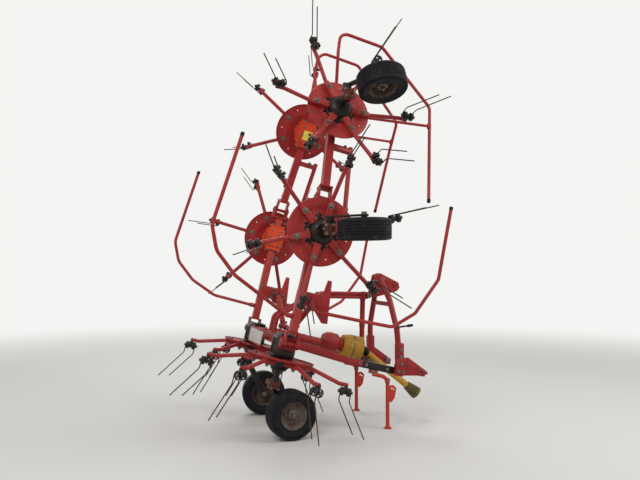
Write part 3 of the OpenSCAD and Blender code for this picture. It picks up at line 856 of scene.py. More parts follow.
def block(size: Point, centre: Point, finish: Finish, edge: float = 2.0) -> Object:
    """Box with rounded edges.

    Args:
        size: its three sides.
        centre: its middle.
        finish: its finish.
        edge: width of the rounding.

    Returns:
        The box.
    """
    bpy.ops.object.select_all(action="DESELECT")
    bpy.ops.mesh.primitive_cube_add(size=1.0)
    obj = bpy.context.object
    carried(obj, Matrix.LocRotScale(Vector(centre), None, Vector(size)))
    return shaded(bevelled(obj, edge), finish)


def hex_bolt(radius: float, finish: Finish, length: float = 0.0, washer: bool = True) -> Object:
    """Hexagon head or nut that stands up from the XY plane, with a washer and a thread end.

    Args:
        radius: radius of the thread.
        finish: its finish.
        length: how far the thread stands out of the nut, or 0 for a head.
        washer: True adds a washer below.

    Returns:
        The bolt.
    """
    parts, base = [], 0.0
    if washer:
        base = 0.3 * radius
        rim = 2.1 * radius
        outline = [(radius, 0), (rim, 0), (rim, base * 0.7), (rim * 0.97, base), (radius, base)]
        parts.append(turned(outline, finish, 20))
    bpy.ops.object.select_all(action="DESELECT")
    bpy.ops.mesh.primitive_cylinder_add(vertices=6, radius=1.82 * radius, depth=1.3 * radius,
                                        location=(0, 0, base + 0.65 * radius))
    head = bpy.context.object
    bpy.ops.object.transform_apply(location=True)
    parts.append(shaded(bevelled(head, 0.18 * radius), finish))
    if length:
        top = base + 1.3 * radius
        parts.append(turned([(0, top - radius), (radius, top - radius), (radius, top + length - 0.2 * radius),
                             (0.8 * radius, top + length), (0, top + length)], finish, 14))
    return joined("bolt", parts)


def aimed(start: Point, direction: Point, roll: float = 0.0) -> Matrix:
    """Frame at a point with its Z axis along a direction.

    Args:
        start: the frame's origin.
        direction: what Z follows.
        roll: turn about that axis, in degrees.

    Returns:
        The frame.
    """
    turn = Vector(direction).to_track_quat("Z", "Y").to_matrix().to_4x4()
    return Matrix.Translation(Vector(start)) @ turn @ about_z(roll)


def bolts(places: Iterable[tuple[Point, Point]], radius: float, finish: Finish, length: float = 0.0
          ) -> list[Object]:
    """Put one kind of bolt at several places.

    Args:
        places: foot and direction of each.
        radius: radius of the thread.
        finish: their finish.
        length: how far the thread stands out.

    Returns:
        The bolts.
    """
    model = hex_bolt(radius, finish, length)
    made = [copied(model, aimed(foot, way, BOLT_TURN * k)) for k, (foot, way) in enumerate(places)]
    bpy.data.objects.remove(model)
    return made


@dataclass
class Yard:
    """The loaded frame with the local frames worked out from its joints."""

    frame: dict
    joints: dict[str, dict] = field(default_factory=dict)
    count: int = 0

    def __post_init__(self) -> None:
        """Index the joints."""
        self.joints = {joint["name"]: joint for joint in self.frame["joints"]}

    def spot(self, joint: str) -> Vector:
        """Where a joint's axis is, as parked."""
        return Vector(self.joints[joint]["pos_m"])

    def axis(self, joint: str) -> Vector:
        """Direction of a joint's axis, as parked."""
        return Vector(self.joints[joint]["axis"]).normalized()

    @property
    def forward(self) -> Vector:
        """Forward direction of the pitched frame."""
        return self.axis("wing_fold_right")

    def section(self, part: Part, side: Side) -> Matrix:
        """Local frame of a section: x forward, y outboard, z up from its rotor.

        Args:
            part: which section.
            side: which half.

        Returns:
            The frame, at the middle of the cross beam or at the section's own hinge.
        """
        spec = next(s for s in ROTORS if s.part is part and s.side is side)
        up = self.axis(f"rotor_spin_{spec.number}")
        out = up.cross(self.forward) * side.value
        if part is Part.CENTRE:
            origin = (self.spot("wing_fold_left") + self.spot("wing_fold_right")) / 2
        elif part is Part.INNER:
            origin = self.spot(f"wing_fold_{side.word}")
        else:
            origin = self.spot(f"wing_tip_{side.word}")
        return frame_of(origin, self.forward, out, up)

    def rotor(self, spec: RotorSpec) -> Matrix:
        """Local frame of a rotor: its section's frame on the rotor's own axis.

        Args:
            spec: the rotor that it belongs to.

        Returns:
            The frame.
        """
        place = self.section(spec.part, spec.side)
        place.translation = self.spot(f"rotor_spin_{spec.number}")
        return place

    def stem(self, spec: RotorSpec) -> Matrix:
        """Local frame of a wheel's stem: its rotor's frame, turned with the wheel arm."""
        return self.rotor(spec) @ about_z(SWIVEL[spec.part])

    def cylinder(self, side: Side) -> Matrix:
        """Local frame of a fold cylinder: z from its base pin to its rod's eye, x forward.

        Args:
            side: which half.

        Returns:
            The frame.
        """
        along = self.axis(f"rod_slide_{side.word}")
        base = self.spot(f"barrel_swing_{side.word}")
        return frame_of(base, self.forward, along.cross(self.forward), along)

    def wheel(self, spec: RotorSpec) -> Matrix:
        """Local frame of a wheel: z along its axle, outboard.

        Args:
            spec: the rotor that it belongs to.

        Returns:
            The frame.
        """
        joint = f"wheel_spin_{spec.number}"
        along = self.axis(joint)
        ahead = (self.forward - along * along.dot(self.forward)).normalized()
        return frame_of(self.spot(joint), ahead, along.cross(ahead), along)

    def seat(self, node: str, body: str, slot: str, parts: Iterable[Object], place: Matrix | None = None
             ) -> None:
        """Join the dressed parts of a node and seat them on the node's body.

        Args:
            node: the node that they stand for.
            body: the body that it rides on.
            slot: the record's material slot of the node; not used.
            parts: the parts.
            place: the local frame that they are modelled in, or None for the world.
        """
        piece = joined(f"{node}_look", all_carried(parts, place) if place else parts)
        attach(piece, body)
        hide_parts(node)
        self.count += 1
        LOG.info("%s rides on %s: %d faces", piece.name, body, len(piece.data.polygons))

    def seat_six(self, carrier: str, station: Callable[[RotorSpec], Matrix],
                 models: dict[str, Object]) -> None:
        """Seat copies of finished models on the six bodies of one kind, and remove the models.

        Args:
            carrier: name of the bodies without its number.
            station: gives the place of a copy.
            models: the model for each slot, named as its nodes are without their number.
        """
        for spec in ROTORS:
            for slot, model in models.items():
                self.seat(f"{model.name}_{spec.number}", f"{carrier}_{spec.number}", slot,
                          [copied(model, station(spec))])
        for model in models.values():
            bpy.data.objects.remove(model)

    def softened(self, node: str, finish: Finish, edge: float = 2.2, edge_wear: float = 1.0) -> Object:
        """Copy a node's solid with its flat faces merged and its edges rounded and worn.

        Args:
            node: the node.
            finish: finish of the copy.
            edge: width of the rounding.
            edge_wear: amount of wear along the edges.

        Returns:
            The copy.
        """
        piece = copied(self.frame["nodes"][node])
        for key in list(piece.keys()):
            if key.startswith("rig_"):
                del piece[key]
        piece.parent = None
        shaded(piece, finish)
        if finish.group is weathered_coat:
            piece.data.materials.append(finish.material(edge_wear))
        with editing(piece):
            bpy.ops.mesh.customdata_custom_splitnormals_clear()
            bpy.ops.mesh.remove_doubles(threshold=MERGE * MM)
            bpy.ops.mesh.dissolve_limited(angle_limit=math.radians(0.4))
        bevelled(piece, edge * MM, 2, 34, len(piece.data.materials) - 1)
        pick(piece)
        bpy.ops.object.shade_smooth_by_angle(angle=SMOOTH_ANGLE)
        return piece


def frame_of(origin: Vector, x: Vector, y: Vector, z: Vector) -> Matrix:
    """Matrix of a local frame in millimetres, from its origin and its three axes.

    Args:
        origin: its origin, in metres.
        x: direction of its X axis.
        y: direction of its Y axis.
        z: direction of its Z axis.

    Returns:
        The matrix.
    """
    place = (Matrix((x, y, z)).transposed() * MM).to_4x4()
    place.translation = origin
    return place


def cut_across(piece: Object, place: Matrix) -> None:
    """Cut a piece's faces along the plane x = 0 of a frame, so that its finish can change there.

    Args:
        piece: the piece.
        place: the frame.
    """
    with editing(piece):
        bpy.ops.mesh.bisect(plane_co=place.translation, plane_no=place.col[0].xyz.normalized())


def painted_where(piece: Object, place: Matrix, test: Callable[[Vector], bool], finish: Finish) -> None:
    """Give some faces of a piece another finish.

    Args:
        piece: the piece.
        place: the local frame in which faces are tested.
        test: takes a face's middle and says whether it gets the finish.
        finish: the finish.
    """
    inverse = place.inverted()
    piece.data.materials.append(finish.material())
    index = len(piece.data.materials) - 1
    for face in piece.data.polygons:
        if test(inverse @ face.center):
            face.material_index = index


def about_z(degrees: float) -> Matrix:
    """Turn about the Z axis."""
    return Matrix.Rotation(math.radians(degrees), 4, "Z")


def shifted(obj: Object, x: float = 0.0, y: float = 0.0, z: float = 0.0) -> Object:
    """Shift a piece within its local frame."""
    return carried(obj, Matrix.Translation((x, y, z)))


def polar(radius: float, degrees: float) -> tuple[float, float]:
    """Point at a radius and an angle about the origin."""
    return radius * math.cos(math.radians(degrees)), radius * math.sin(math.radians(degrees))


def arc(centre: tuple[float, float], radius: float, start: float, end: float, steps: int = 8
        ) -> list[tuple[float, float]]:
    """Points on an arc.

    Args:
        centre: its centre.
        radius: its radius.
        start: first angle, in degrees.
        end: last angle.
        steps: steps between them.

    Returns:
        The points.
    """
    turns = [polar(radius, start + (end - start) * k / steps) for k in range(steps + 1)]
    return [(centre[0] + x, centre[1] + y) for x, y in turns]


@dataclass
class Reel:
    """Rotor: dished disc, greasy hub, six bent arms with their holders, and twelve spring tines."""

    top: float = -134.0
    underside: float = -139.0
    radius: float = 274.0
    lip_top: float = -125.0
    hub: float = 102.0
    hub_foot: float = -231.0
    bore: float = 24.3
    splash: float = 118.0
    splash_reach: tuple[float, ...] = (9, 34, 4, 22, 41, 12, 27, 3, 38, 16)
    drain_at: float = 226.0
    drain_radius: float = 5.0
    arms: int = 6
    arm_radius: float = 17.0
    arm_line: tuple[Point, ...] = ((60, 0, -163), (268, 0, -163), (521, 0, -230), (594, 0, -230))
    clamp_at: float = 214.0
    holder_at: float = 583.0
    holder_z: float = -286.0
    holder_half: float = 22.0
    holder_thick: float = 22.0
    spool_half: float = 53.0
    coil_mean: float = 31.25
    coil_length: float = 38.0
    coil_turns: float = 3.25
    wire: float = 4.75
    tip: Point = (184, 45.25, -340)

    def disc(self) -> Object:
        """Pressed disc with its rolled edge and the six drain holes between its arms.

        Returns:
            The disc.
        """
        top, low, edge = self.top, self.underside, self.radius
        outline = [
            (self.bore, top), (150, top), (157, top + 2.5), (192, top + 2.5), (199, top), (edge - 9, top),
            (edge - 3, top + 2), (edge, top + 7), (edge, self.lip_top), (edge + 5, self.lip_top),
            (edge + 5, low + 7), (edge + 3, low + 2), (edge - 3, low), (199, low), (192, low + 2.5),
            (157, low + 2.5), (150, low), (self.bore, low)]
        sheet = turned(outline, PAINT_RED, 96)
        bpy.ops.object.select_all(action="DESELECT")
        bpy.ops.mesh.primitive_cylinder_add(vertices=20, radius=self.drain_radius, depth=30,
                                            location=(self.drain_at, 0, low))
        bpy.ops.object.transform_apply(location=True)
        drills = joined("drills", ringed(bpy.context.object, self.arms, 180 / self.arms))
        return shaded(drilled(sheet, drills), PAINT_RED)

    def hub_parts(self) -> list[Object]:
        """Hub casting under the disc with its flange bolts, ribs and seal cap.

        Returns:
            The parts, in their local frame.
        """
        low, foot, r = self.underside, self.hub_foot, self.hub
        casting = turned([
            (self.bore, low + 1), (124, low + 1), (124, low - 7), (121, low - 10), (r + 1, low - 12),
            (r - 3, low - 44), (r - 9, low - 52), (72, low - 76), (66, low - 79), (66, foot + 4),
            (62, foot), (self.bore, foot)], GREASE, 64)
        rib = plate([(60, foot + 10), (70, foot + 12), (r + 12, low - 12), (r + 12, low - 6), (60, low - 6)],
                    9, GREASE)
        ribs = ringed(carried(rib, EDGEWISE), self.arms, 30)
        heads = bolts([((113, 0, low - 9), (0, 0, -1))], 6, BOLT)[0]
        splash = [polar(self.splash + self.splash_reach[k % 10], 6 * k) for k in range(60)]
        stain = shifted(plate(splash, 1.6, GREASE, edge=0), z=low - 0.6)
        return [casting, stain, *ribs, *ringed(heads, 12, 12)]

    def arm_parts(self) -> list[Object]:
        """One arm with its pressed pocket, its clamping bolt, holder and spool.

        Returns:
            The parts, in their local frame.
        """
        tube = swept(rounded_line(self.arm_line, 70), self.arm_radius, PAINT_RED, 20)
        pocket = plate([(100, -31), (262, -20), (268, -14), (268, 14), (262, 20), (100, 31)], 44, PAINT_RED,
                       edge=11)
        shifted(pocket, z=self.underside - 22.5)
        low = self.underside - 44.5
        heads = bolts([((self.clamp_at, 0, low - 3), (0, 0, -1))], 9, BOLT, 7)
        heads += bolts([((self.clamp_at, 0, self.top + 3), (0, 0, 1))], 8, BOLT)
        washer = turned([(9, -3), (26, -3), (26, 0), (9, 0)], BOLT, 28)
        washers = [copied(washer, Matrix.Translation((self.clamp_at, 0, z))) for z in (low, self.top + 3)]
        bpy.data.objects.remove(washer)
        half = self.holder_half
        outline = [(half, 56), (-half, 56), *arc((0, 0), half, 180, 360, 12)]
        holder = carried(plate(outline, self.holder_thick, CASTING, edge=2.5), UPRIGHT)
        shifted(holder, self.holder_at, 0, self.holder_z)
        end = self.spool_half
        spool = turned([(0, -end), (11, -end), (11, end), (0, end)], CASTING, 20)
        flange = turned([(0, end - 4), (17, end - 4), (17, end - 1), (15, end), (0, end)], CASTING, 20)
        other = copied(flange, Matrix.Rotation(math.pi, 4, "X"))
        caps = bolts([((0, 0, end), (0, 0, 1)), ((0, 0, -end), (0, 0, -1))], 7, PIN_STEEL)
        shaft = [carried(p, FORWARD) for p in (spool, flange, other, *caps)]
        ends = [shifted(p, self.holder_at, 0, self.holder_z) for p in shaft]
        return [tube, pocket, *heads, *washers, holder, *ends]

    def tine(self, outward: int) -> Object:
        """One spring tine: its coil on the spool and its prong.

        Args:
            outward: 1 for the outer tine of a pair, -1 for the inner.

        Returns:
            The tine, about the middle of its spool.
        """
        near = self.holder_thick / 2 + self.wire
        far = self.holder_thick / 2 + self.coil_length - self.wire
        steps = int(self.coil_turns * 18)
        coil = []
        for k in range(steps + 1):
            angle = math.tau * self.coil_turns * (1 - k / steps)
            along = near + (far - near) * k / steps
            coil.append((outward * along, self.coil_mean * math.cos(angle), self.coil_mean * math.sin(angle)))
        reach = 1.0 if outward > 0 else 0.94
        elbow = (outward * far, self.coil_mean, -70)
        end = (outward * far + self.tip[0] * reach, self.tip[1], self.tip[2] * reach)
        prong = rounded_line([coil[-1], elbow, end], 55, 6)
        return swept([*coil[:-1], *prong], self.wire, SPRING, 8)

    def build(self, yard: Yard) -> None:
        """Model one rotor and its tines, and copy them to the six stations.

        Args:
            yard: the loaded frame and its places.
        """
        arm = joined("arm", self.arm_parts())
        body = joined("rotor", [self.disc(), *self.hub_parts(), *ringed(arm, self.arms)])
        pair = joined("pair", [self.tine(1), self.tine(-1)])
        shifted(pair, self.holder_at, 0, self.holder_z)
        tines = joined("tines", ringed(pair, self.arms))
        yard.seat_six("rotor_unit", lambda spec: yard.rotor(spec) @ about_z(spec.first_arm),
                      {"paint_red": body, "steel_dark": tines})


@dataclass
class RoadWheel:
    """Ribbed implement tyre on a pressed rim with its hub."""

    radius: float = 205.0
    half_width: float = 82.5
    seat: float = 117.0
    shoulder: float = 22.0
    bulge: float = 38.0
    groove_pitch: float = 24.0
    groove: tuple[float, float] = (2.6, 6.0)
    slit: tuple[float, float] = (1.1, 3.0)
    hub_half: float = 46.0
    axle: float = 15.1
    roll_step: float = 47.0

    def tread(self) -> list[tuple[float, float]]:
        """Section of the tread from one shoulder to the other, with grooves and fine slits.

        Returns:
            The points.
        """
        points = []
        flat = self.half_width - self.shoulder
        for k in range(-4, 5):
            centre = k * self.groove_pitch / 2
            wide, deep = self.slit if k % 2 else self.groove
            crown = self.radius - 2.2 * (centre / flat) ** 2
            low, high = centre - wide, centre + wide
            points += [(crown, low - 0.6), (crown - 0.8, low), (crown - deep, low + 0.5),
                       (crown - deep, high - 0.5), (crown - 0.8, high), (crown, high + 0.6)]
        return points

    def tyre(self) -> Object:
        """Tyre with a rounded shoulder, a bulging sidewall and its bead.

        Returns:
            The tyre.
        """
        flat = self.half_width - self.shoulder
        side = [(self.seat, 71), (self.seat + 4, 77)]
        side += arc((self.seat + 45, self.half_width - self.bulge), self.bulge, 118, 42, 8)
        ring = side[7][0]
        side = [p for p in side if p[0] < self.radius - 17]
        shoulder = arc((self.radius - self.shoulder, flat), self.shoulder - 1.5, 62, 4, 6)
        ridge = [(ring - 3, 81.2), (ring - 2.4, 82.4), (ring - 0.6, 82.4), (ring, 81.0)]
        outer = [*(p for p in side if p[0] < ring - 3.4), *ridge, *(p for p in side if p[0] > ring + 0.6),
                 *shoulder]
        lower = [(r, -z) for r, z in reversed(outer)]
        return turned([*outer, *reversed(self.tread()), *lower], RUBBER, 72)

    def rim(self) -> list[Object]:
        """Pressed rim with its lips and well, the disc, the hub and its nuts.

        Returns:
            The parts, in their local frame.
        """
        lip, seat = self.seat - 0.3, 66.0
        well = turned([
            (lip, seat + 3), (lip - 2, seat + 5), (lip - 5, seat + 3), (lip - 6, seat - 8),
            (lip - 15, seat - 18), (lip - 18, 24), (lip - 26, 19), (70, 19), (60, 23), (44, 23), (44, 8),
            (60, 12), (74, 9), (lip - 22, 7), (lip - 18, -20), (lip - 14, -52), (lip - 6, -seat + 6),
            (lip - 5, -seat - 3), (lip - 2, -seat - 5), (lip, -seat - 3)], RIM_GREY, 64)
        half = self.hub_half
        hub = turned([(self.axle, -half), (36, -half), (40, -half + 3), (44, -half + 8), (44, half - 14),
                      (38, half - 8), (38, half - 3), (35, half), (self.axle, half)], RIM_GREY, 40)
        nuts = bolts([((54, 0, 22), (0, 0, 1))], 6, PIN_STEEL, 5)[0]
        stem = turned([(0, 0), (4.2, 0), (4.2, 16), (3, 18), (3, 26), (0, 26)], BOOT, 12)
        shifted(stem, 86, 0, 18)
        return [well, hub, stem, *ringed(nuts, 4, 45)]

    def build(self, yard: Yard) -> None:
        """Model one wheel and copy it to the six axles."""
        yard.seat_six("wheel", lambda spec: yard.wheel(spec) @ about_z(self.roll_step * spec.number),
                      {"tyre_black": joined("tyre", [self.tyre()]), "rim_grey": joined("rim", self.rim())})


@dataclass
class WheelStem:
    """Stem below a rotor with its block, cranked arm and axle end."""

    block_foot: float = -370.0
    block_top: float = -324.0
    arm_face: float = 113.5
    axle_x: float = 206.0
    axle_z: float = -568.0
    axle_end: float = 52.0

    def fittings(self, toward: int) -> list[Object]:
        """Clamp plate, bolts and washers of one stem.

        Args:
            toward: 1 where the arm is on the outboard side of its wheel, -1 inboard.

        Returns:
            The fittings, in the stem's frame.
        """
        middle = toward * 8
        clamp = block((84, 90, 9), (0, middle, self.block_foot - 3), PAINT_WORN)
        foot = self.block_foot - 7.5
        heads = bolts([((x, middle + y, foot), (0, 0, -1)) for x in (-29, 29) for y in (-32, 32)], 7, BOLT, 5)
        pinch = bolts([((-34, toward * y, -347), (-1, 0, 0)) for y in (12, 60)], 7, BOLT, 4)
        collar = turned([(24, 0), (36, 0), (36, 26), (33, 29), (24, 29)], CASTING, 32)
        shifted(collar, z=self.block_top - 1)
        axle = (self.axle_x, 0, self.axle_z)
        nut = bolts([((axle[0], -toward * self.axle_end, axle[2]), (0, -toward, 0))], 10, PIN_STEEL)
        inner = bolts([((axle[0], toward * self.arm_face, axle[2]), (0, toward, 0))], 12, PIN_STEEL)
        return [clamp, *heads, *pinch, collar, *nut, *inner]

    def build(self, yard: Yard) -> None:
        """Dress the two stems of the centre frame, which are one node, and the four of the wings.

        Args:
            yard: the loaded frame and its places.
        """
        nodes = {}
        for spec in ROTORS:
            centre = spec.part is Part.CENTRE
            node = "centre_stems" if centre else f"{spec.part.name.lower()}_stem_{spec.side.word}"
            nodes.setdefault(node, []).append(spec)
        for node, specs in nodes.items():
            spec = specs[0]
            toward = -1 if spec.part is Part.CENTRE else 1
            extras = []
            base = yard.softened(node, CASTING)
            for place in map(yard.stem, specs):
                extras += all_carried(self.fittings(toward), place)
                painted_where(base, place, lambda p: self.block_foot - 1 < p.z < self.block_top + 8
                              and abs(p.x) < 36 and -60 < toward * p.y < 52, PAINT_WORN)
            yard.seat(node, spec.section, "grease_black", [base, *extras])


@dataclass
class Gearbox:
    """Rotor gearbox: cast body with ribs, bolted lid and flange, clamped round its beam."""

    half_x: float = 84.0
    half_y: float = 112.0
    flange: float = 100.0
    flange_top: float = -111.0
    lid_top: float = 64.0
    lid_x: float = 62.0
    lid_y: float = 86.0

    def fittings(self, paint: Finish, wing: bool) -> list[Object]:
        """Bolts, ribs, plug and clamp plates of one gearbox, in its rotor's frame.

        Args:
            paint: finish of the casting.
            wing: True for a wing's gearbox, which has a collar at both ends.

        Returns:
            The fittings.
        """
        top = self.lid_top
        spots = [(x, y) for x in (-self.lid_x + 11, self.lid_x - 11)
                 for y in (-self.lid_y + 12, 0, self.lid_y - 12)]
        heads = bolts([((x, y, top), (0, 0, 1)) for x, y in spots], 5.5, BOLT)
        ring = bolts([((self.flange - 10, 0, self.flange_top), (0, 0, 1))], 5.5, BOLT)[0]
        plug = turned([(0, top), (19, top), (19, top + 6), (16, top + 8), (13, top + 8), (13, top + 18),
                       (0, top + 18)], PIN_STEEL, 6)
        shifted(plug, 22, 20)
        raised = block((86, 108, 5), (0, 0, top + 1.5), paint, 3)
        ribs = [block((7, 9, 126), (side * (self.half_x + 2.5), y, -40), paint, 3)
                for side in (-1, 1) for y in (-46, 0, 46)]
        ends = (-1, 1) if wing else (-1,)
        collar = []
        for end in ends:
            face = end * (self.half_y + 11)
            collar += bolts([((x, face, z), (0, end, 0)) for x in (-58, 58) for z in (-42, 40)], 6.5, BOLT, 5)
        return [*heads, *ringed(ring, 8, 22), plug, raised, *ribs, *collar]

    def build(self, yard: Yard) -> None:
        """Dress the gearboxes of the centre frame and of the wings.

        Args:
            yard: the loaded frame and its places.
        """
        centre = []
        for spec in ROTORS:
            wing = spec.part is not Part.CENTRE
            paint = PAINT_ORANGE if wing else CASTING
            extras = all_carried(self.fittings(paint, wing), yard.rotor(spec))
            if not wing:
                centre += extras
                continue
            node = f"{spec.part.name.lower()}_gearbox_{spec.side.word}"
            if spec.number == 6:
                extras.append(carried(self.label(), yard.rotor(spec)))
            yard.seat(node, spec.section, "paint_orange", [yard.softened(node, paint, 3.0), *extras])
        node = "centre_gearboxes"
        yard.seat(node, "frame", "grease_black", [yard.softened(node, CASTING, 3.0), *centre])

    def label(self) -> Object:
        """Blank label on the lid of the last gearbox."""
        return shifted(block((84, 92, 1.2), (0, 0, 0), LABEL_YELLOW, 0.4), z=self.lid_top + 4.5)


@dataclass
class CrossBeam:
    """Square cross beam with the wings' hinge forks and the cylinders' base brackets."""

    half: float = 40.0
    hinge: float = 720.0
    hinge_pin: float = 15.0
    pin_half: float = 80.0
    base: Point = (150, 150, 103)
    plate_y: float = 636.0

    def half_parts(self) -> list[Object]:
        """Pin ends, welds and bolts of one half.

        Returns:
            The parts, in their local frame.
        """
        y = self.hinge
        pins = [hinge_pin_end(end * self.pin_half, end, self.hinge_pin, y, 0) for end in (-1, 1)]
        welds = [bead([(way * (self.half + 2), self.plate_y - 4, z) for z in (-38, 38)], PAINT_RED)
                 for way in (1, -1)]
        welds.append(bead([(x, self.plate_y - 4, self.half + 2) for x in (-38, 38)], PAINT_RED))
        bx, by, bz = self.base
        cap = bolts([((bx + s * 28, by, bz), (s, 0, 0)) for s in (-1, 1)], 11, PIN_STEEL)
        foot = self.half + 10
        seams = [bead([(bx + s * 23, by + end, foot) for end in (-44, 44)], PAINT_RED, 4) for s in (-1, 1)]
        tongue = bead([(-38, by - 46, self.half + 3), (bx - 30, by - 46, self.half + 3)], PAINT_RED, 4)
        return [*pins, *welds, *cap, *seams, tongue]

    def build(self, yard: Yard) -> None:
        """Dress the cross beam.

        Args:
            yard: the loaded frame and its places.
        """
        extras = [carried(part, yard.section(Part.CENTRE, side)) for side in Side
                  for part in self.half_parts()]
        node = "cross_beam"
        yard.seat(node, "frame", "paint_red", [yard.softened(node, PAINT_RED, 3.0), *extras])


def hinge_pin_end(x: float, way: int, radius: float, y: float, z: float) -> Object:
    """End of a hinge pin: washer, head and split pin.

    Args:
        x: where the pin ends.
        way: 1 for the front end, -1 for the rear.
        radius: radius of the pin.
        y: where its axis is.
        z: height of its axis.

    Returns:
        The end, along X.
    """
    washer = turned([(0, -5.5), (radius + 9, -5.5), (radius + 9, -2.5), (radius + 7, -1.5), (radius, -1),
                     (radius - 1, 1), (0, 1)], PIN_STEEL, 28)
    split = swept([(0, -radius - 7, -1), (0, radius + 7, -1)], 2.2, PIN_STEEL, 8)
    nipple = turned([(0, 0), (4, 0), (4, 4), (2.6, 6), (3.2, 9), (0, 10)], BOLT, 10)
    return carried(joined("pin_end", [washer, split, nipple]), aimed((x, y, z), (way, 0, 0)))


@dataclass
class WingBeams:
    """Square beams of the wings with their hinge plates, brackets and fold links."""

    half: float = 32.0
    inner_root: float = 96.0
    inner_hinge: float = 1214.0
    hinge_plate: float = 1130.0
    outer_end: float = 1071.0
    eye: Point = (150, 383, 90)
    link_x: float = 193.0
    link_eye: float = -99.0

    def square_weld(self, y: float) -> Object:
        """Weld round the beam at a station."""
        corners = ((-1, -1), (1, -1), (1, 1), (-1, 1), (-1, -1))
        return bead([(x * (self.half + 2), y, z * (self.half + 2)) for x, z in corners], PAINT_RED, 4)

    def inner_parts(self) -> list[Object]:
        """Welds, pins and bolts of an inner beam.

        Returns:
            The parts, in their local frame.
        """
        parts = [self.square_weld(y) for y in (self.inner_root + 13, self.hinge_plate - 2)]
        parts += [hinge_pin_end(end * 80, end, 15, self.inner_hinge, 0) for end in (-1, 1)]
        x, y, z = self.eye
        parts += bolts([((x + s * 40, y, z), (s, 0, 0)) for s in (-1, 1)], 10, PIN_STEEL)
        corners = ((-18, -42), (-18, 42), (100, -44), (100, 44))
        parts += bolts([((px, y + py, 42), (0, 0, 1)) for px, py in corners], 7, BOLT, 5)
        parts += [bead([(x + s * 23, y + end, 43) for end in (-44, 44)], PAINT_RED, 4) for s in (-1, 1)]
        fork = self.inner_hinge + self.link_eye
        parts += bolts([((self.link_x + s * 34, fork + 2, -12), (s, 0, 0)) for s in (-1, 1)], 9, BOLT)
        return parts

    def outer_parts(self) -> list[Object]:
        """Welds, end cap and link clamps of an outer beam.

        Returns:
            The parts, in their local frame.
        """
        parts = [self.square_weld(self.inner_root + 13)]
        end = self.outer_end
        parts.append(block((58, 3, 58), (0, end + 1, 0), PAINT_RED, 1))
        parts += bolts([((self.link_x - 60, 540, s * 24), (0, 0, s)) for s in (-1, 1)], 7, BOLT, 4)
        eye = turned([(0, -21), (12, -21), (12, 21), (0, 21)], PIN_STEEL, 20)
        parts.append(shifted(carried(eye, FORWARD), self.link_x, self.link_eye))
        collar = turned([(20, 0), (25, 0), (26, 3), (26, 22), (25, 25), (20, 25)], PAINT_RED, 28)
        parts.append(shifted(carried(collar, SIDEWAYS), self.link_x, self.link_eye + 40))
        return parts

    def build(self, yard: Yard) -> None:
        """Dress the four wing beams.

        Args:
            yard: the loaded frame and its places.
        """
        for side in Side:
            for part, made in ((Part.INNER, self.inner_parts()), (Part.OUTER, self.outer_parts())):
                node = f"{part.name.lower()}_beam_{side.word}"
                place = yard.section(part, side)
                extras = all_carried(made, place)
                base = yard.softened(node, PAINT_RED, 2.6)
                if part is Part.INNER:
                    # The inner beam tubes get the lighter copy of the red paint: painted light of the sunlit
                    # beams.
                    painted_where(base, place, lambda p: abs(p.x) < 34 and abs(p.z) < 34 and 108 < p.y < 1120,
                                  PAINT_SUNLIT_RED)
                yard.seat(node, f"wing_{part.name.lower()}_{side.word}", "paint_red", [base, *extras])


